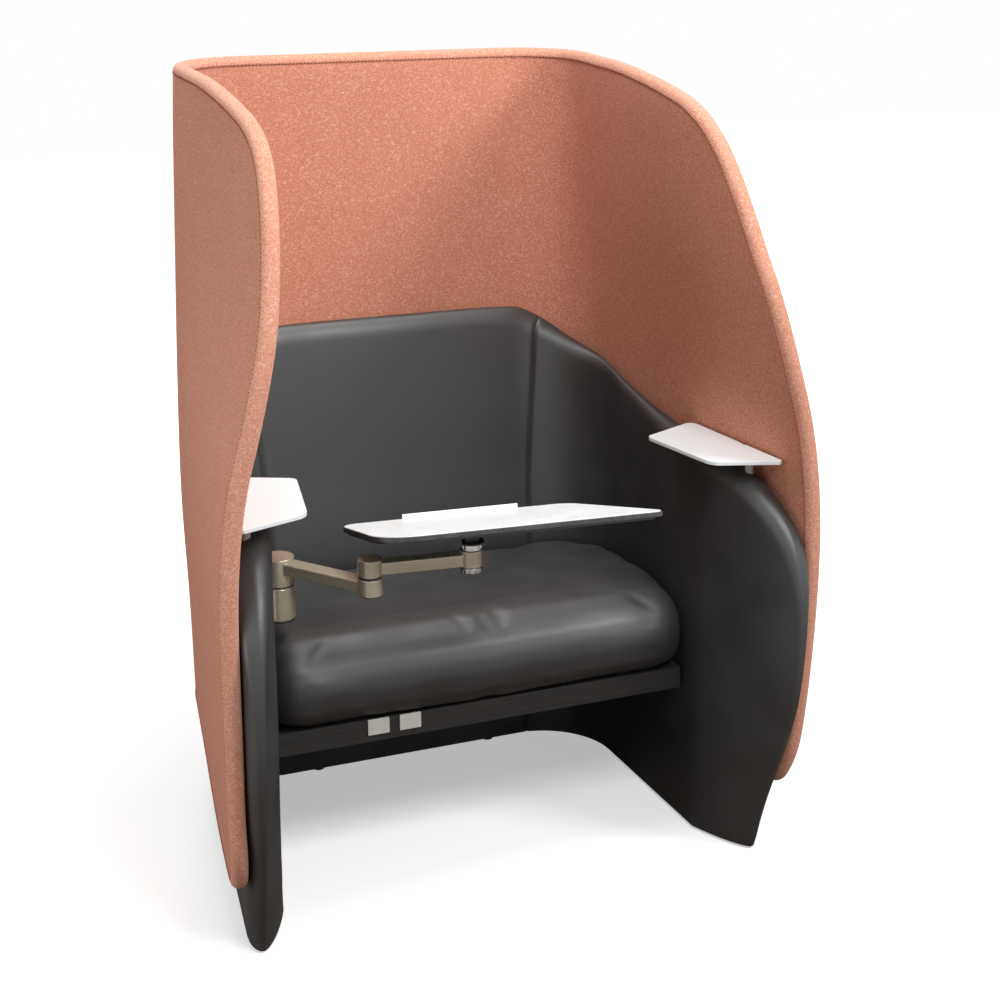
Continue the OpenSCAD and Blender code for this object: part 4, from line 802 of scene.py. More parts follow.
class Finish:
    """A material in the making: its shader, its coordinates and the helper that joins nodes."""

    def __init__(self, name: str) -> None:
        """Make an empty material with a Principled shader.

        Args:
            name: Name of the material.
        """
        self.material = bpy.data.materials.new(name)
        self.material.use_nodes = True
        self.nodes = Nodes(self.material.node_tree)
        self.shader = next(n for n in self.material.node_tree.nodes if n.type == "BSDF_PRINCIPLED")
        self.place = self.nodes.add("ShaderNodeTexCoord").outputs["Object"]

    def group(self, tree: bpy.types.NodeTree, **values: float) -> bpy.types.Node:
        """Place a group in the material.

        Args:
            tree: The node group.
            values: Values of its inputs, by name.

        Returns:
            The group's node.
        """
        node = self.nodes.add("ShaderNodeGroup", node_tree=tree)
        self.nodes.link(self.place, node.inputs["Vector"])
        for key, value in values.items():
            node.inputs[key].default_value = value
        return node

    def constants(self, **values: float) -> None:
        """Set plain values on the shader's sockets; underscores in a name stand for spaces."""
        for key, value in values.items():
            self.shader.inputs[key.replace("_", " ")].default_value = value

    def feed(self, source: bpy.types.NodeSocket, socket: str) -> None:
        """Join a socket to one of the shader's inputs."""
        self.nodes.link(source, self.shader.inputs[socket])

    def bump(self, height: bpy.types.NodeSocket, distance: float, strength: float = 1.0) -> None:
        """Feed a height through a Bump node into the shader's normal."""
        node = self.nodes.add("ShaderNodeBump")
        node.inputs["Distance"].default_value = distance
        node.inputs["Strength"].default_value = strength
        self.nodes.link(height, node.inputs["Height"])
        self.feed(node.outputs[0], "Normal")


@dataclass(frozen=True)
class FeltFinish:
    """Mixed wool felt in a coral tone, with pale flecks and a fuzzy nap."""

    name: str
    base: Colour
    deep: Colour
    fleck: Colour
    scale: float = 540.0
    fleck_share: float = 0.34
    nap: float = 0.7

    def build(self) -> bpy.types.Material:
        """Return the material."""
        f = Finish(self.name)
        fibres = f.group(fibre_group(), Scale=self.scale)
        body = f.nodes.colours(fibres.outputs["Mask"], self.deep, self.base)
        body = f.nodes.colours(f.nodes.maths("MULTIPLY", fibres.outputs["Fleck"], self.fleck_share), body, self.fleck)
        shade = f.nodes.maths("MULTIPLY", fibres.outputs["Blotch"], 0.12)
        f.feed(f.nodes.colours(shade, body, self.deep), "Base Color")
        f.feed(f.nodes.ramp(fibres.outputs["Mask"], 0, 1, 0.95, 0.84), "Roughness")
        f.constants(Specular_IOR_Level=0.25, Sheen_Weight=0.35, Sheen_Roughness=0.5)
        f.shader.inputs["Sheen Tint"].default_value = (*self.fleck, 1)
        f.bump(fibres.outputs["Height"], 0.0014, self.nap)
        return f.material


@dataclass(frozen=True)
class LeatherFinish:
    """Smooth black leather with fine pores and a soft, uneven sheen."""

    name: str = "black_leather"
    base: Colour = linear(46, 47, 47)
    worn: Colour = linear(54, 55, 55)
    low_roughness: float = 0.45
    high_roughness: float = 0.54

    def build(self) -> bpy.types.Material:
        """Return the material."""
        f = Finish(self.name)
        hide = f.group(hide_group(), Scale=820.0)
        dust = f.group(dust_group(), Amount=0.05)
        tone = f.nodes.colours(f.nodes.maths("MULTIPLY", hide.outputs["Wave"], 0.6), self.base, self.worn)
        tone = f.nodes.colours(f.nodes.maths("MULTIPLY", hide.outputs["Pores"], 0.35), tone, linear(32, 32, 32))
        f.feed(f.nodes.colours(dust.outputs["Dust"], tone, linear(150, 146, 140)), "Base Color")
        f.feed(f.nodes.ramp(hide.outputs["Wave"], 0, 1, self.low_roughness, self.high_roughness), "Roughness")
        f.constants(Specular_IOR_Level=0.8)
        f.bump(hide.outputs["Height"], 0.00022, 0.55)
        return f.material


@dataclass(frozen=True)
class PaintFinish:
    """Painted or moulded surface: a base tone, worn edges, smudges and a fine skin."""

    name: str
    base: Colour
    worn: Colour
    roughness: float = 0.4
    metallic: float = 0.0
    skin: float = 0.00004
    wear: float = 0.5
    dust: float = 0.06
    specular: float = 0.5

    def build(self) -> bpy.types.Material:
        """Return the material."""
        f = Finish(self.name)
        wear = f.group(wear_group(), Amount=self.wear)
        dust = f.group(dust_group(), Amount=self.dust)
        tone = f.nodes.colours(wear.outputs["Edge"], self.base, self.worn)
        f.feed(f.nodes.colours(dust.outputs["Dust"], tone, linear(170, 165, 158)), "Base Color")
        f.feed(f.nodes.ramp(wear.outputs["Smudge"], 0, 1, self.roughness * 0.88, self.roughness * 1.14),
               "Roughness")
        f.constants(Metallic=self.metallic, Specular_IOR_Level=self.specular)
        f.bump(wear.outputs["Height"], self.skin)
        return f.material


@dataclass(frozen=True)
class TimberFinish:
    """Plywood, board or black wood with long grain along X; the black wood also stands in as painted shade on the seat
    board and cleats.
    """

    name: str
    base: Colour
    dark: Colour

    def build(self) -> bpy.types.Material:
        """Return the material."""
        f = Finish(self.name)
        stretch = f.nodes.add("ShaderNodeMapping")
        stretch.inputs["Scale"].default_value = (0.06, 1.0, 1.0)
        f.nodes.link(f.place, stretch.inputs["Vector"])
        grain = f.nodes.noise(stretch.outputs[0], 260, 5, 0.6, 0.6)
        f.feed(f.nodes.colours(f.nodes.ramp(grain, 0.35, 0.65), self.base, self.dark), "Base Color")
        f.feed(f.nodes.ramp(grain, 0.3, 0.7, 0.5, 0.68), "Roughness")
        f.bump(grain, 0.0002, 0.5)
        return f.material


@dataclass(frozen=True)
class ClothFinish:
    """Thin woven cloth with a plain weave."""

    name: str
    base: Colour
    light: Colour
    pitch: float = 900.0

    def build(self) -> bpy.types.Material:
        """Return the material."""
        f = Finish(self.name)
        heights = []
        for direction in ("X", "Y"):
            wave = f.nodes.add("ShaderNodeTexWave", bands_direction=direction)
            f.nodes.link(f.place, wave.inputs["Vector"])
            wave.inputs["Scale"].default_value = self.pitch / 6.2832
            wave.inputs["Distortion"].default_value = 0.6
            heights.append(wave.outputs[1])
        weave = f.nodes.maths("MULTIPLY", heights[0], heights[1])
        f.feed(f.nodes.colours(weave, self.base, self.light), "Base Color")
        f.feed(f.nodes.ramp(weave, 0, 1, 0.95, 0.8), "Roughness")
        f.bump(weave, 0.0003, 0.6)
        return f.material


@dataclass
class Finishes:
    """Every material of the chair, made once."""

    felt: bpy.types.Material = field(default_factory=lambda: FeltFinish(
        "coral_felt", linear(218, 152, 125), linear(176, 106, 82), linear(242, 204, 181)).build())
    # Lighter copy of the coral felt for the rim band: a painted highlight where the rim catches the light.
    felt_band_painted_light: bpy.types.Material = field(default_factory=lambda: FeltFinish(
        "coral_felt_band", linear(232, 173, 146), linear(192, 123, 98), linear(250, 222, 202)).build())
    felt_thread: bpy.types.Material = field(default_factory=lambda: ClothFinish(
        "coral_thread", linear(150, 84, 64), linear(182, 112, 90), 3000.0).build())
    leather: bpy.types.Material = field(default_factory=lambda: LeatherFinish().build())
    leather_thread: bpy.types.Material = field(default_factory=lambda: ClothFinish(
        "grey_thread", linear(84, 83, 82), linear(128, 126, 124), 3000.0).build())
    champagne: bpy.types.Material = field(default_factory=lambda: PaintFinish(
        "champagne_paint", linear(190, 183, 164), linear(210, 204, 187), 0.27, 0.45, 0.00003, 0.4).build())
    champagne_cap: bpy.types.Material = field(default_factory=lambda: PaintFinish(
        "champagne_cap", linear(160, 153, 134), linear(190, 184, 166), 0.42, 0.0, 0.00003, 0.4).build())
    gloss_cap: bpy.types.Material = field(default_factory=lambda: PaintFinish(
        "glossy_cap", linear(206, 176, 158), linear(220, 196, 180), 0.12, 0.35, 0.00001, 0.2, 0.02).build())
    chrome: bpy.types.Material = field(default_factory=lambda: PaintFinish(
        "polished_chrome", linear(214, 216, 219), linear(228, 229, 231), 0.1, 1.0, 0.00001, 0.3, 0.0).build())
    steel: bpy.types.Material = field(default_factory=lambda: PaintFinish(
        "ground_steel", linear(176, 178, 181), linear(205, 206, 208), 0.28, 1.0, 0.00002, 0.5, 0.02).build())
    zinc: bpy.types.Material = field(default_factory=lambda: PaintFinish(
        "zinc_plate", linear(158, 160, 164), linear(186, 188, 190), 0.4, 1.0, 0.00003, 0.5, 0.04).build())
    black_metal: bpy.types.Material = field(default_factory=lambda: PaintFinish(
        "black_metal", linear(36, 36, 37), linear(88, 88, 90), 0.4, 0.0, 0.00004, 0.4).build())
    black_plastic: bpy.types.Material = field(default_factory=lambda: PaintFinish(
        "black_plastic", linear(38, 38, 39), linear(70, 70, 72), 0.5, 0.0, 0.00006, 0.3).build())
    pale_plastic: bpy.types.Material = field(default_factory=lambda: PaintFinish(
        "pale_plastic", linear(206, 203, 196), linear(226, 224, 219), 0.45, 0.0, 0.00005, 0.3).build())
    bush: bpy.types.Material = field(default_factory=lambda: PaintFinish(
        "bearing_plastic", linear(222, 214, 198), linear(236, 230, 216), 0.5, 0.0, 0.00005, 0.3).build())
    tablet_black: bpy.types.Material = field(default_factory=lambda: PaintFinish(
        "tablet_edge", linear(46, 46, 47), linear(104, 103, 102), 0.44, 0.0, 0.00008, 0.7, 0.0).build())
    laminate: bpy.types.Material = field(default_factory=lambda: PaintFinish(
        "white_laminate", linear(234, 241, 242), linear(244, 244, 244), 0.34, 0.0, 0.00002, 0.2, 0.0).build())
    ledge: bpy.types.Material = field(default_factory=lambda: PaintFinish(
        "white_ledge", linear(243, 243, 243), linear(248, 248, 248), 0.34, 0.0, 0.00003, 0.2, 0.0).build())
    tray: bpy.types.Material = field(default_factory=lambda: PaintFinish(
        "white_powder_coat", linear(236, 244, 246), linear(246, 248, 248), 0.38, 0.0, 0.00007, 0.2, 0.0).build())
    white_metal: bpy.types.Material = field(default_factory=lambda: PaintFinish(
        "pale_powder_coat", linear(212, 210, 205), linear(228, 226, 222), 0.42, 0.0, 0.00007, 0.3).build())
    plywood: bpy.types.Material = field(default_factory=lambda: TimberFinish(
        "birch_plywood", linear(214, 184, 142), linear(182, 146, 104)).build())
    board: bpy.types.Material = field(default_factory=lambda: TimberFinish(
        "moulded_board", linear(150, 134, 112), linear(124, 108, 88)).build())
    # Black timber: the black_wood slot's colour, also used as painted shade on the seat board and cleats under the
    # seat.
    black_wood: bpy.types.Material = field(default_factory=lambda: TimberFinish(
        "stained_timber", linear(38, 36, 34), linear(24, 23, 22)).build())
    under_cloth: bpy.types.Material = field(default_factory=lambda: ClothFinish(
        "underside_cloth", linear(24, 24, 24), linear(42, 42, 42)).build())

    def by_slot(self) -> dict[str, bpy.types.Material]:
        """Return the material of each slot of the record."""
        return {
            "felt": self.felt, "board": self.board, "plywood": self.plywood, "black_wood": self.black_wood,
            "leather": self.leather, "black_cloth": self.under_cloth, "black_plastic": self.black_plastic,
            "pale_plastic": self.pale_plastic, "bush": self.bush, "white_tray": self.tray,
            "white_metal": self.white_metal, "champagne": self.champagne, "champagne_gloss": self.gloss_cap,
            "chrome": self.chrome, "pin_steel": self.steel, "zinc": self.zinc, "black_metal": self.black_metal,
            "tablet_black": self.tablet_black, "white_laminate": self.laminate, "white_plastic": self.ledge}


# ---- sub-assemblies ----


@dataclass
class Screen:
    """The felt-covered privacy screen: two felt faces, a stitched band over the rim and its seams."""

    finishes: Finishes
    lip: float = 0.0008
    dimple: float = 0.0024
    stitch_pitch: float = 0.0068
    stitch_l: float = 0.0060
    thread_r: float = 0.00075
    rim_step: float = 0.006
    rim_passes: int = 10

    def stations(self) -> Array:
        """Return the stations of the screen's dense mesh, from the left front to the right front."""
        steps = [0.002, 0.005, 0.009, 0.014, 0.022, 0.034, 0.05]
        side = 3 - np.concatenate([[0], steps])[::-1]
        half = np.concatenate([np.linspace(0, 1, 22), np.linspace(1, 2, 30)[1:], np.linspace(2, 2.95, 50)[1:-1], side])
        return np.concatenate([-half[:0:-1], half])

    def rows(self) -> Array:
        """Return the shares of the height of the mesh's rows."""
        return graded(0, 1, [0.002, 0.005, 0.01, 0.017, 0.03], 58)

    def sheet(self, name: str, face: float, core: float, node: str) -> bpy.types.Object:
        """Make one felt layer as a thin closed sheet.

        Args:
            name: Name of the piece.
            face: Inset of the visible side.
            core: Inset of the glued side.
            node: CAD node that it stands for.

        Returns:
            The new piece.
        """
        u, t = np.meshgrid(self.stations(), self.rows(), indexing="ij")
        near = np.minimum(np.minimum(t, 1 - t) * 1.1, (3 - np.abs(u)) * 0.62)
        dip = self.dimple * np.exp(-((near / 0.005) ** 2)) * np.sign(core - face)
        rows, columns = u.shape
        sides = [PLAN.screen_point(u, t, face + dip, PLAN.band_r).reshape(-1, 3),
                 PLAN.screen_point(u, t, core, PLAN.band_r).reshape(-1, 3)]
        piece = mesh_object(name, np.vstack(sides), sheet_faces(rows, columns), 50)
        finish_piece(piece, self.finishes.felt, Body.CHAIR, "felt", node)
        return piece

    def rim(self) -> tuple[Array, Array, Array]:
        """Return the rim's path, the outward direction in the sheet and the face's normal at each point."""
        up = self.stations()
        t = np.linspace(1, 0, 120)[1:]
        u = np.concatenate([up, np.full(len(t), 3.0), up[::-1][1:], np.full(len(t) - 1, -3.0)])
        share = np.concatenate([np.ones(len(up)), t, np.zeros(len(up) - 1), t[::-1][1:]])
        path = PLAN.screen_point(u, share, PLAN.screen_t / 2, PLAN.band_r)
        slant = PLAN.slant(path[:, 2])
        a = np.where(np.abs(u) <= 1, np.pi / 2, mix(np.pi / 2, slant, np.clip(np.abs(u) - 1, 0, 1)))
        normal = np.stack([np.where(u < 0, -1, 1) * np.cos(a), np.sin(a), 0 * a], -1)
        i, s = along(path, self.rim_step, True)
        j = (i + 1) % len(path)
        path, normal = mix(path[i], path[j], s[:, None]), mix(normal[i], normal[j], s[:, None])
        for _ in range(self.rim_passes):
            path = path * 0.5 + (np.roll(path, 1, 0) + np.roll(path, -1, 0)) * 0.25
        tangent = np.roll(path, -1, 0) - np.roll(path, 1, 0)
        outward = np.cross(tangent, normal)
        outward /= np.linalg.norm(outward, axis=1, keepdims=True)
        normal = np.cross(outward, tangent)
        normal /= np.linalg.norm(normal, axis=1, keepdims=True)
        return path, outward, normal

    def band(self) -> bpy.types.Object:
        """Make the rounded band over the rim, with a lip where it is sewn to each face; its felt is a lighter copy of
        the screen's felt, a painted highlight.
        """
        path, outward, normal = self.rim()
        half = PLAN.screen_t / 2
        section = [(-0.0032, half - 0.001), (-0.0032, half + self.lip * 0.4), (-0.0025, half + self.lip),
                   (-0.0008, half + self.lip * 1.1)]
        for a in np.radians(np.linspace(78, -78, 15)):
            section.append((0.0004 + PLAN.band_r * math.cos(a), (half + self.lip * 0.6) * math.sin(a)))
        section += [(o, -n) for o, n in section[3::-1]]
        rings = np.stack([path + outward * o + normal * n for o, n in section], 1)
        points = rings.reshape(-1, 3)
        faces = grid_faces(len(path), len(section), close_columns=True, close_rows=True)
        piece = mesh_object("screen_band", points, faces, 60)
        # The band's lighter felt is a painted highlight on the rim.
        return finish_piece(piece, self.finishes.felt_band_painted_light, Body.CHAIR, "felt", "screen_edge_band")

    def seams(self) -> None:
        """Sew the band to both faces with slanted stitches."""
        path, outward, normal = self.rim()
        for name, side in (("outer", 1), ("inner", -1)):
            line = path - outward * 0.0026 + normal * side * (PLAN.screen_t / 2 + self.lip)
            piece = stitches(f"screen_{name}_seam", line, normal * side, outward, self.stitch_pitch, self.stitch_l,
                             0.86, self.thread_r, closed=True)
            finish_piece(piece, self.finishes.felt_thread, Body.CHAIR, "felt")

    def build(self) -> None:
        """Make every piece of the screen."""
        self.sheet("screen_felt_outside", 0.0, PLAN.felt_t, "screen_outer_felt")
        self.sheet("screen_felt_inside", PLAN.screen_t, PLAN.screen_t - PLAN.felt_t, "screen_inner_felt")
        self.band()
        self.seams()


@dataclass
class Tub:
    """The leather tub: a back pad and two side pads that meet in stitched seams."""

    finishes: Finishes
    groove: float = 0.0035
    groove_w: float = 0.0042
    station_l: float = 0.22
    sewn_rings: tuple[int, int] = (34, 56)
    seam_gap: float = 0.003
    thread_r: float = 0.00034
    stitch_pitch: float = 0.0058
    stitch_l: float = 0.0040
    nose_from: float = 0.33
    nose_passes: int = 3
    seam_bend: Profile = Profile([(0, 0), (0.5, 0), (0.62, 0.03), (0.74, 0.075), (0.84, 0.115), (0.9, 0.18)])

    def ring(self, u: Array) -> Array:
        """Return the rings of a pad: up the inner face, over the roll and down the outer face.

        Args:
            u: Station of each ring.

        Returns:
            Points, one ring for each station.
        """
        top = PLAN.tub_back_h * PLAN.tub_top(np.abs(u))[:, None]
        high = top - PLAN.roll_h
        rise = np.concatenate([[0, 0.006, 0.02], np.linspace(0.05, 1, 40)])[None]
        arc = np.linspace(0, np.pi, 19)[None, 1:-1]
        z = np.concatenate([mix(PLAN.floor_gap, high, rise), high + PLAN.roll_h * np.sin(arc),
                            mix(PLAN.floor_gap, high, rise[:, ::-1])], 1)
        d = np.concatenate([0 * rise, (1 - np.cos(arc)) / 2, 0 * rise + 1], 1) + 0 * z
        side = np.abs(u)[:, None]
        reach = np.clip(np.where(side < PLAN.seam, side / PLAN.seam, (2 - side) / (2 - PLAN.seam)), 0, 1)
        bent = side + self.seam_bend(z) * reach * reach * (3 - 2 * reach)
        return PLAN.wall(np.where(u[:, None] < 0, -1, 1) * bent, z, d)

    def pad(self, name: str, u: Array, node: str, seams: Sequence[float]) -> bpy.types.Object:
        """Make one pad as a closed skin whose sewn ends turn in.

        Args:
            name: Name of the piece.
            u: Stations of its rings.
            node: CAD node that it stands for.
            seams: Stations where it is sewn to the next pad.

        Returns:
            The new piece.
        """
        rings = self.ring(u)
        n = rings.shape[1]
        middle = (rings + rings[:, ::-1]) / 2
        for seam in seams:
            run = np.abs(u - seam) * self.station_l
            dip = (self.groove * np.exp(-((run / self.groove_w) ** 2)))[:, None, None]
            inward = middle - rings
            size = np.maximum(np.linalg.norm(inward, axis=2, keepdims=True), 1e-6)
            rings = rings + inward / size * np.minimum(dip, size * 0.4)
        faces = grid_faces(len(u), n, close_columns=True)
        for end in (0, len(u) - 1):
            faces += [[end * n + k, end * n + k + 1, end * n + n - 2 - k, end * n + n - 1 - k]
                      for k in range(n // 2)]
        faces = [list(dict.fromkeys(face)) for face in faces]
        piece = mesh_object(name, rings.reshape(-1, 3), [face for face in faces if len(face) > 2], 75)
        self.round_nose(piece)
        finish_piece(piece, self.finishes.leather, Body.CHAIR, "leather", node)
        return piece

    def round_nose(self, piece: bpy.types.Object) -> None:
        """Smooth the front of a pad, so that its nose has one soft round edge."""
        relax(piece.data, self.nose_passes, lambda v: v.co.y < -self.nose_from and v.co.z > 2 * PLAN.floor_gap)

    def side_stations(self) -> Array:
        """Return the stations of a side pad, close together at the seam and at the nose."""
        start = PLAN.seam + self.seam_gap / 2
        close = start + np.array([0, 0.004, 0.009, 0.015, 0.023, 0.034, 0.05, 0.075, 0.11])
        nose = np.array([2.86, 2.9, 2.93, 2.95, 2.965, 2.978, 2.987, 2.993, 2.997, 2.999, 3.0])
        return np.concatenate([close, np.linspace(close[-1] + 0.05, 2, 20), np.linspace(2.04, 2.82, 26), nose])

    def back_stations(self) -> Array:
        """Return the stations of the back pad, close together at both seams."""
        end = PLAN.seam - self.seam_gap / 2
        close = end - np.array([0.11, 0.075, 0.05, 0.034, 0.023, 0.015, 0.009, 0.004, 0])
        half = np.concatenate([np.linspace(0, 0.93, 22), close])
        return np.concatenate([-half[:0:-1], half])

    def seam_threads(self) -> None:
        """Sew two rows of stitches beside each back seam, on the inner face and over the roll."""
        for side in Side:
            for number, offset in enumerate((-0.0052, 0.0052)):
                station = side.value * (PLAN.seam + offset / self.station_l)
                rings = self.ring(np.array([station - 0.01, station, station + 0.01]))
                keep = slice(*self.sewn_rings)
                path = rings[1, keep]
                across = rings[2, keep] - rings[0, keep]
                run = np.gradient(path, axis=0)
                normal = np.cross(across, run)
                normal /= np.linalg.norm(normal, axis=1, keepdims=True)
                inside = np.array([0.0, 0.0, PLAN.tub_back_h / 2]) - path
                if np.sum(normal[0] * inside[0]) < 0:
                    normal = -normal
                piece = stitches(f"back_seam_{side.name.lower()}_{number + 1}", path + normal * 0.0001, normal,
                                 across, self.stitch_pitch, self.stitch_l, 0.0, self.thread_r)
                finish_piece(piece, self.finishes.leather_thread, Body.CHAIR, "leather")

    def build(self) -> None:
        """Make every piece of the tub."""
        self.pad("back_pad_leather", self.back_stations(), "back_pad", (-PLAN.seam, PLAN.seam))
        right = self.side_stations()
        self.pad("side_pad_leather_right", right, "side_pad_right", (PLAN.seam,))
        self.pad("side_pad_leather_left", -right[::-1], "side_pad_left", (-PLAN.seam,))
        self.seam_threads()


@dataclass
class Seat:
    """The crowned seat cushion, swollen by a cloth simulation, and the cloth under the seat."""

    finishes: Finishes
    voxel: float = 0.006
    shrink: float = 0.004
    cap: float = 0.010
    pressure: float = 4.0
    steps: int = 20
    wrap_l: float = 0.022
    wrap_h: float = 0.016
    wrap_reach: float = 0.034
    front_spare: float = 0.008
    crown_spare: float = 0.012
    cloth_corner: float = 0.11
    cloth_sag: float = 0.004

    def remesh(self, obj: bpy.types.Object, voxel: float) -> None:
        """Give an object an even mesh and smooth the facets out of it."""
        bpy.context.view_layer.objects.active = obj
        obj.select_set(True)
        obj.data.remesh_voxel_size = voxel
        bpy.ops.object.voxel_remesh()
        obj.select_set(False)
        relax(obj.data, 4)

    def swell(self, obj: bpy.types.Object) -> None:
        """Blow the cover up with a short cloth simulation and apply its result.

        Args:
            obj: The cushion, already evenly meshed.
        """
        scene = bpy.context.scene
        rest = np.array([v.co for v in obj.data.vertices])
        cloth = obj.modifiers.new("swell", "CLOTH")
        cloth.settings.use_pressure = True
        cloth.settings.uniform_pressure_force = self.pressure
        cloth.settings.effector_weights.gravity = 0.0
        cloth.settings.quality = 6
        cloth.settings.tension_stiffness = 22
        cloth.settings.bending_stiffness = 2.0
        cloth.collision_settings.use_collision = False
        cloth.point_cache.frame_start, cloth.point_cache.frame_end = 1, self.steps
        for number in range(1, self.steps + 1):
            scene.frame_set(number)
        moved = np.array([v.co for v in obj.evaluated_get(bpy.context.evaluated_depsgraph_get()).data.vertices])
        obj.modifiers.remove(cloth)
        scene.frame_set(1)
        step = moved - rest
        size = np.maximum(np.linalg.norm(step, axis=1, keepdims=True), 1e-9)
        step *= np.minimum(1, self.cap / size)
        self.write(obj, rest + step)

    def write(self, obj: bpy.types.Object, points: Array) -> None:
        """Set the vertices of an object."""
        obj.data.vertices.foreach_set("co", points.astype(np.float32).ravel())
        obj.data.update()

    def cushion(self) -> bpy.types.Object:
        """Make the cushion, held between the tub's walls and on the seat board."""
        mesh = frame["nodes"]["seat_cushion"].data.copy()
        obj = new_object("seat_cushion_leather", mesh)
        low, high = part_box("seat_cushion")
        self.remesh(obj, self.voxel)
        mesh = obj.data
        points = np.array([v.co for v in mesh.vertices])
        normals = np.array([v.normal for v in mesh.vertices])
        held = np.abs(points[:, 0])
        self.write(obj, points - normals * self.shrink * np.array([0.5, 1, 1]))
        self.swell(obj)
        points = np.array([v.co for v in mesh.vertices])
        points[:, 0] = np.sign(points[:, 0]) * np.minimum(np.abs(points[:, 0]), np.maximum(held, 0.05))
        points[:, 1] = np.clip(points[:, 1], low.y - self.front_spare, high.y)
        points[:, 2] = np.clip(points[:, 2], low.z, high.z + self.crown_spare)
        board = frame["nodes"]["seat_board"].data.vertices
        ahead = min(v.co.y for v in board) - 0.0032 - points[:, 1]
        wrap = np.clip(ahead / 0.003, 0, 1) * np.clip((low.z + self.wrap_h - points[:, 2]) / 0.010, 0, 1)
        points[:, 2] -= wrap * self.wrap_l * np.clip(1 - (ahead / self.wrap_reach) ** 2, 0, 1)
        self.write(obj, points)
        relax(mesh, 3)
        mesh.polygons.foreach_set("use_smooth", [True] * len(mesh.polygons))
        finish_piece(obj, self.finishes.leather, Body.CHAIR, "leather", "seat_cushion")
        return obj

    def under_cloth(self) -> bpy.types.Object:
        """Make the thin cloth under the seat, which sags a little between its cleats."""
        low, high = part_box("dust_cover")
        rows, columns = 41, 25
        x, y = np.meshgrid(np.linspace(low.x, high.x, rows), np.linspace(low.y, high.y, columns), indexing="ij")
        corner = self.cloth_corner
        span = np.minimum(1, np.maximum(0, (y - (high.y - corner)) / corner))
        limit = high.x - corner * (1 - np.sqrt(1 - span**2)) * 0.9
        x = np.clip(x, -limit, limit)
        sag = self.cloth_sag * np.clip(1 - (x / high.x) ** 2, 0, 1) * np.sin(np.pi * (y - low.y) / (high.y - low.y))
        top = np.stack([x, y, high.z - sag], -1).reshape(-1, 3)
        under = top - np.array([0, 0, high.z - low.z])
        piece = mesh_object("underseat_cloth", np.vstack([top, under]), sheet_faces(rows, columns), 60)
        finish_piece(piece, self.finishes.under_cloth, Body.CHAIR, "black_cloth", "dust_cover")
        return piece

    def build(self) -> None:
        """Make every piece of the seat."""
        self.cushion()
        self.under_cloth()


@dataclass
class Trays:
    """The two white arm trays with softened edges."""

    finishes: Finishes
    edge: float = 0.0016

    def build(self) -> None:
        """Make both trays and dress their brackets."""
        for side in Side:
            node = f"tray_{side.name.lower()}"
            piece = softened(node, f"{node}_plate", self.edge)
            finish_piece(piece, self.finishes.tray, Body.CHAIR, "white_tray", node)
            node = f"tray_bracket_{side.name.lower()}"
            piece = softened(node, f"{node}_shell", 0.0006, 2)
            finish_piece(piece, self.finishes.white_metal, Body.CHAIR, "white_metal", node)


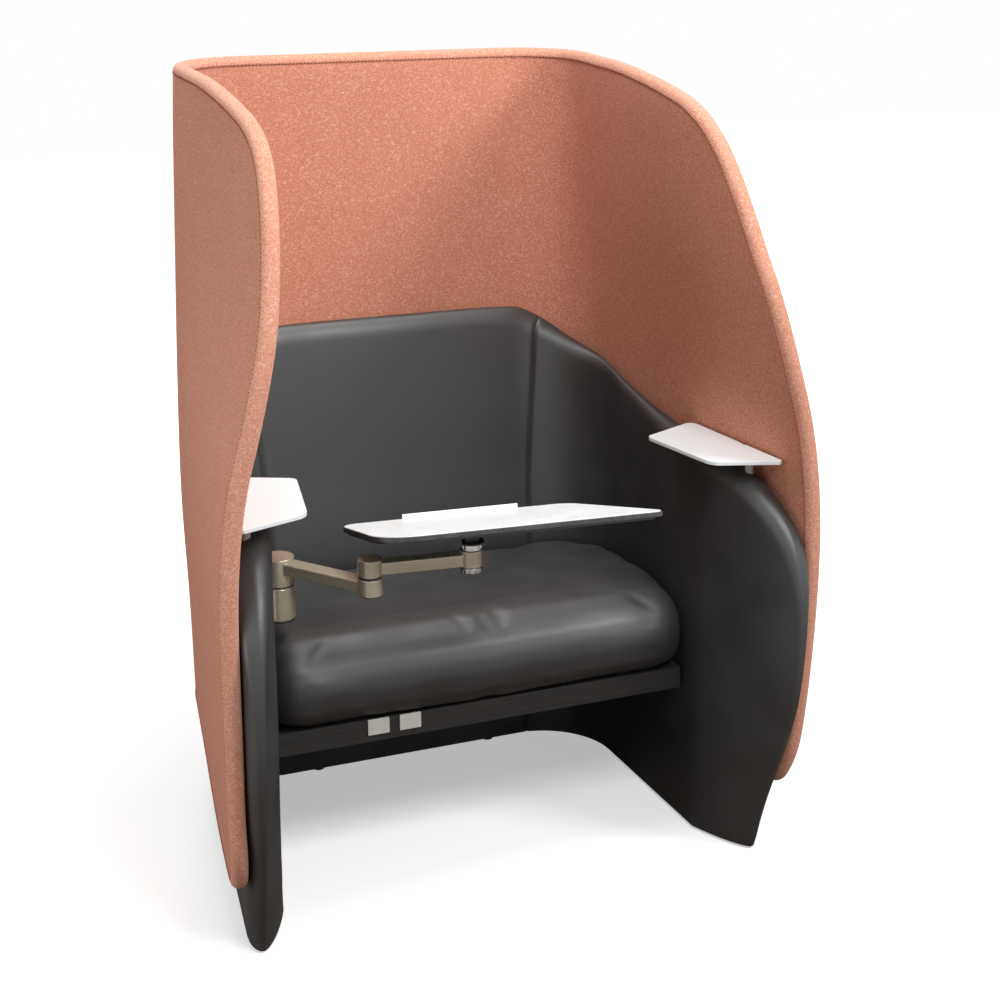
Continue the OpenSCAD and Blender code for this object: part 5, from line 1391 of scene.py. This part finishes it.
@dataclass
class FoldingArm:
    """The arm's base, its two links and their hubs, with soft cast edges. Lengths are in metres."""

    finishes: Finishes
    base: tuple[float, float] = (-0.358, -0.150)
    elbow: tuple[float, float] = (-0.249527, -0.292392)
    head: tuple[float, float] = (-0.086425, -0.309535)
    lower_turn: float = -52.7
    upper_turn: float = -6.0
    hub_top: float = 0.617
    hub_h: float = 0.046
    hub_r: float = 0.026
    socket_r: float = 0.025
    socket_h: float = 0.056
    base_gap: float = 0.0025
    lower_l: float = 0.179
    lower_w: float = 0.030
    lower_t: float = 0.019
    upper_l: float = 0.164
    upper_w: float = 0.024
    upper_t: float = 0.021
    elbow_r: float = 0.020
    elbow_h: float = 0.028
    elbow_gap: float = 0.004
    edge: float = 0.0014

    def lower_link(self) -> None:
        """Make the lower link: base hub, bar and lower elbow hub."""
        low = self.hub_top - self.hub_h
        bar_top = self.hub_top - 0.006
        elbow_top = self.hub_top - 0.001
        rim = rounded_disc(self.hub_r, low, self.hub_top, self.edge, self.hub_r * 0.826)
        floor = rounded_disc(self.hub_r * 0.83, low + 0.001, self.hub_top - 0.0021, 0.0002)
        parts = [placed(rim, (*self.base, 0)), placed(floor, (*self.base, 0)),
                 placed(rounded_bar(self.lower_l, self.lower_w, bar_top - self.lower_t, bar_top, 0.002),
                        (*self.base, 0), self.lower_turn),
                 placed(rounded_disc(self.elbow_r, elbow_top - self.elbow_h, elbow_top, self.edge),
                        (*self.elbow, 0))]
        piece = even_normals(mesh_object("lower_link", *merged(parts), 35))
        finish_piece(piece, self.finishes.champagne, Body.LOWER_ARM, "champagne", "lower_arm")
        cap = rounded_disc(self.hub_r * 0.82, self.hub_top - 0.002, self.hub_top - 0.0002, 0.0004)
        piece = even_normals(mesh_object("base_hub_cap", *placed(cap, (*self.base, 0)), 35))
        finish_piece(piece, self.finishes.gloss_cap, Body.LOWER_ARM, "champagne_gloss", "hub_cap")

    def upper_link(self) -> None:
        """Make the upper link: upper elbow hub, bar and end hub."""
        low = self.hub_top - 0.001 + self.elbow_gap
        top = low + self.elbow_h
        rim = rounded_disc(self.elbow_r, low, top, self.edge, self.elbow_r * 0.826)
        floor = rounded_disc(self.elbow_r * 0.83, low + 0.001, top - 0.0016, 0.0002)
        parts = [placed(rim, (*self.elbow, 0)), placed(floor, (*self.elbow, 0)),
                 placed(rounded_bar(self.upper_l, self.upper_w, low + 0.001, low + 0.001 + self.upper_t, 0.002),
                        (*self.elbow, 0), self.upper_turn),
                 placed(rounded_disc(self.elbow_r, low, top, self.edge, 0.009), (*self.head, 0))]
        piece = even_normals(mesh_object("upper_link", *merged(parts), 35))
        finish_piece(piece, self.finishes.champagne, Body.UPPER_ARM, "champagne", "upper_arm")
        cap = rounded_disc(self.elbow_r * 0.82, top - 0.0015, top - 0.0002, 0.0004)
        piece = even_normals(mesh_object("elbow_hub_cap", *placed(cap, (*self.elbow, 0)), 35))
        finish_piece(piece, self.finishes.champagne_cap, Body.UPPER_ARM, "champagne", "elbow_cap")

    def bracket(self) -> None:
        """Make the socket and the wall plate that carry the arm."""
        piece = softened("wall_bracket", "arm_bracket", 0.0009, 2)
        finish_piece(piece, self.finishes.champagne, Body.CHAIR, "champagne", "wall_bracket")
        low = self.hub_top - self.hub_h - self.base_gap - self.socket_h
        rings = [rounded_disc(self.socket_r + 0.0010, low + 0.0008, low + self.socket_h - 0.0008, self.edge, 0.0125)]
        piece = even_normals(mesh_object("arm_socket_sleeve", *placed(merged(rings), (*self.base, 0)), 35))
        finish_piece(piece, self.finishes.champagne, Body.CHAIR, "champagne")

    def build(self) -> None:
        """Make every piece of the arm."""
        self.lower_link()
        self.upper_link()
        self.bracket()


@dataclass
class TabletHead:
    """The chrome clutch rings and the black swivel head."""

    finishes: Finishes

    def build(self) -> None:
        """Round the small parts' edges and dress them."""
        for node in ("clutch_ring_upper", "clutch_ring_lower"):
            piece = softened(node, f"{node}_chrome", 0.0004, 2)
            finish_piece(piece, self.finishes.chrome, Body.HEAD, "chrome", node)
        piece = softened("swivel_head", "swivel_head_cast", 0.0006, 2)
        finish_piece(piece, self.finishes.black_metal, Body.HEAD, "black_metal", "swivel_head")


@dataclass
class Tablet:
    """The writing tablet: bracket, black core, white top and ledge."""

    finishes: Finishes

    def build(self) -> None:
        """Make every piece of the tablet."""
        for node, name, width, material, slot in (
                ("tablet_core", "tablet_core_board", 0.0010, self.finishes.tablet_black, "tablet_black"),
                ("tablet_top", "tablet_top_sheet", 0.0005, self.finishes.laminate, "white_laminate"),
                ("tablet_ledge", "tablet_ledge_strip", 0.0008, self.finishes.ledge, "white_plastic"),
                ("tablet_bracket", "tablet_bracket_plate", 0.0005, self.finishes.black_metal, "black_metal")):
            piece = softened(node, name, width, 2)
            finish_piece(piece, material, Body.TABLET, slot, node)


@dataclass
class CarriedParts:
    """The small CAD parts whose shapes are right: screws, bushes, pins, boards and glides."""

    finishes: Finishes
    # Seat board and cleats, painted black as shade of the dark space under the seat.
    painted_shade_parts: tuple[str, ...] = ("seat_board", "seat_cleats")

    def build(self) -> None:
        """Give every CAD node that still shows the material of its slot, except that the seat board and cleats get
        black timber as painted shade for the dark space under the seat.
        """
        by_slot = self.finishes.by_slot()
        for sub_part in frame["record"]["subparts"]:
            obj = frame["nodes"][sub_part["node"]]
            material = by_slot[sub_part["material_slot"]]
            # Painted shade: the seat board and cleats get black timber instead of their slot's wood.
            if sub_part["node"] in self.painted_shade_parts:
                material = self.finishes.black_wood
            if obj.material_slots:
                for slot in obj.material_slots:
                    slot.material = material
            else:
                obj.data.materials.append(material)


# ---- studio ----


@dataclass(frozen=True)
class Lamp:
    """A soft rectangular lamp, with places and sizes in metres and its power in watts."""

    name: str
    at: tuple[float, float, float]
    target: tuple[float, float, float]
    size: tuple[float, float]
    power: float

    def build(self) -> None:
        """Hang the lamp, turned to its target."""
        data = bpy.data.lights.new(self.name, "AREA")
        data.shape, data.size, data.size_y = "RECTANGLE", self.size[0], self.size[1]
        data.energy = self.power
        obj = bpy.data.objects.new(self.name, data)
        obj.location = self.at
        obj.rotation_euler = (Vector(self.target) - Vector(self.at)).to_track_quat("-Z", "Y").to_euler()
        obj.visible_camera = False
        bpy.context.scene.collection.objects.link(obj)


@dataclass
class Studio:
    """White floor and backdrop, soft lamps and the photograph's camera."""

    camera_at: tuple[float, float, float] = (-1.06998, -2.81393, 1.64490)
    pitch: float = 18.8105
    yaw: float = 22.405
    roll: float = -0.2102
    lens: float = 65.3244
    floor_near: float = 0.44
    glow_range: tuple[float, float] = (0.75, 2.0)
    mirror_range: tuple[float, float] = (1.4, 3.2)
    floor_tone: float = 0.8
    floor_bounce: Colour = (0.16, 0.12, 0.10)
    ambient: float = 0.26
    lamps: tuple[Lamp, ...] = (
        Lamp("key", (0.15, -2.1, 2.8), (0, 0.2, 0.9), (0.6, 1.0), 40),
        Lamp("side_key", (1.9, -2.1, 2.8), (-0.1, 0.2, 0.9), (0.6, 1.0), 52),
        Lamp("front", (1.5, -3.1, 1.7), (0, 0.3, 0.9), (0.9, 1.4), 5),
        Lamp("left", (-3.0, -0.5, 1.3), (-0.5, 0, 0.6), (1.2, 1.6), 34),
        Lamp("rear", (0.4, 3.4, 1.7), (0, 0.3, 0.7), (1.6, 1.6), 30),
        Lamp("overhead", (0.0, 0.1, 3.4), (0, 0, 0.5), (1.6, 1.2), 46))

    def camera(self) -> None:
        """Place the camera at the photograph's viewing angle."""
        data = bpy.data.cameras.new("camera")
        data.lens, data.sensor_width = self.lens, 36
        obj = bpy.data.objects.new("camera", data)
        bpy.context.scene.collection.objects.link(obj)
        t, a, r = (math.radians(v) for v in (self.pitch, self.yaw, self.roll))
        ahead = np.array([math.sin(a) * math.cos(t), math.cos(a) * math.cos(t), -math.sin(t)])
        right = np.array([math.cos(a), -math.sin(a), 0])
        down = np.cross(ahead, right)
        right, down = right * math.cos(r) + down * math.sin(r), down * math.cos(r) - right * math.sin(r)
        turn = Matrix([[right[i], -down[i], -ahead[i]] for i in range(3)])
        obj.matrix_world = Matrix.Translation(Vector(self.camera_at)) @ turn.to_4x4()
        bpy.context.scene.camera = obj

    def floor(self) -> None:
        """Lay a white floor that keeps the chair's shadow."""
        piece = mesh_object("floor", np.array([(-9, -9, 0), (9, -9, 0), (9, 9, 0), (-9, 9, 0)], float), [[0, 1, 2, 3]])
        material = bpy.data.materials.new("white_floor")
        material.use_nodes = True
        n = Nodes(material.node_tree)
        shader = next(x for x in material.node_tree.nodes if x.type == "BSDF_PRINCIPLED")
        shader.inputs["Roughness"].default_value = 0.9
        shader.inputs["Specular IOR Level"].default_value = 0.1
        path = n.add("ShaderNodeLightPath")
        seen = n.maths("MAXIMUM", path.outputs["Is Camera Ray"], path.outputs["Is Transmission Ray"])
        white = (self.floor_tone, self.floor_tone, self.floor_tone)
        n.link(n.colours(seen, self.floor_bounce, white), shader.inputs["Base Color"])
        distance = n.add("ShaderNodeVectorMath", operation="LENGTH")
        n.link(n.add("ShaderNodeTexCoord").outputs["Object"], distance.inputs[0])
        glow = n.ramp(distance.outputs["Value"], *self.glow_range, self.floor_near, 1.0)
        mirrored = n.ramp(distance.outputs["Value"], *self.mirror_range)
        mirrored = n.maths("MULTIPLY", path.outputs["Is Glossy Ray"], mirrored)
        shader.inputs["Emission Color"].default_value = (1, 1, 1, 1)
        n.link(n.maths("MAXIMUM", n.maths("MULTIPLY", seen, glow), mirrored), shader.inputs["Emission Strength"])
        piece.data.materials.append(material)

    def world(self) -> None:
        """Give the world an even pale light that looks white to the camera."""
        world = bpy.data.worlds.new("studio")
        bpy.context.scene.world = world
        world.use_nodes = True
        n = Nodes(world.node_tree)
        light = next(x for x in world.node_tree.nodes if x.type == "BACKGROUND")
        light.inputs["Color"].default_value = (1, 1, 1, 1)
        light.inputs["Strength"].default_value = self.ambient
        seen = n.add("ShaderNodeBackground")
        seen.inputs["Color"].default_value = (1, 1, 1, 1)
        seen.inputs["Strength"].default_value = 1.0
        path = n.add("ShaderNodeLightPath")
        both = n.add("ShaderNodeMixShader")
        clear = n.maths("MAXIMUM", path.outputs["Is Camera Ray"], path.outputs["Is Transmission Ray"])
        n.link(n.maths("MAXIMUM", clear, path.outputs["Is Glossy Ray"]), both.inputs[0])
        n.link(light.outputs[0], both.inputs[1])
        n.link(seen.outputs[0], both.inputs[2])
        output = next(x for x in world.node_tree.nodes if x.type == "OUTPUT_WORLD")
        n.link(both.outputs[0], output.inputs["Surface"])

    def build(self) -> None:
        """Set up the whole studio."""
        self.camera()
        self.floor()
        self.world()
        for lamp in self.lamps:
            lamp.build()
        bpy.context.scene.view_settings.view_transform = "Standard"


def main() -> None:
    """Build the chair, one sub-assembly after another, and report each."""
    logging.basicConfig(level=logging.INFO, format="%(message)s")
    Studio().build()
    LOG.info("studio ready")
    finishes = Finishes()
    for assembly in (CarriedParts, Screen, Tub, Seat, Trays, FoldingArm, TabletHead, Tablet):
        assembly(finishes).build()
        LOG.info("%s ready", assembly.__name__)


if __name__ == "__main__":
    main()
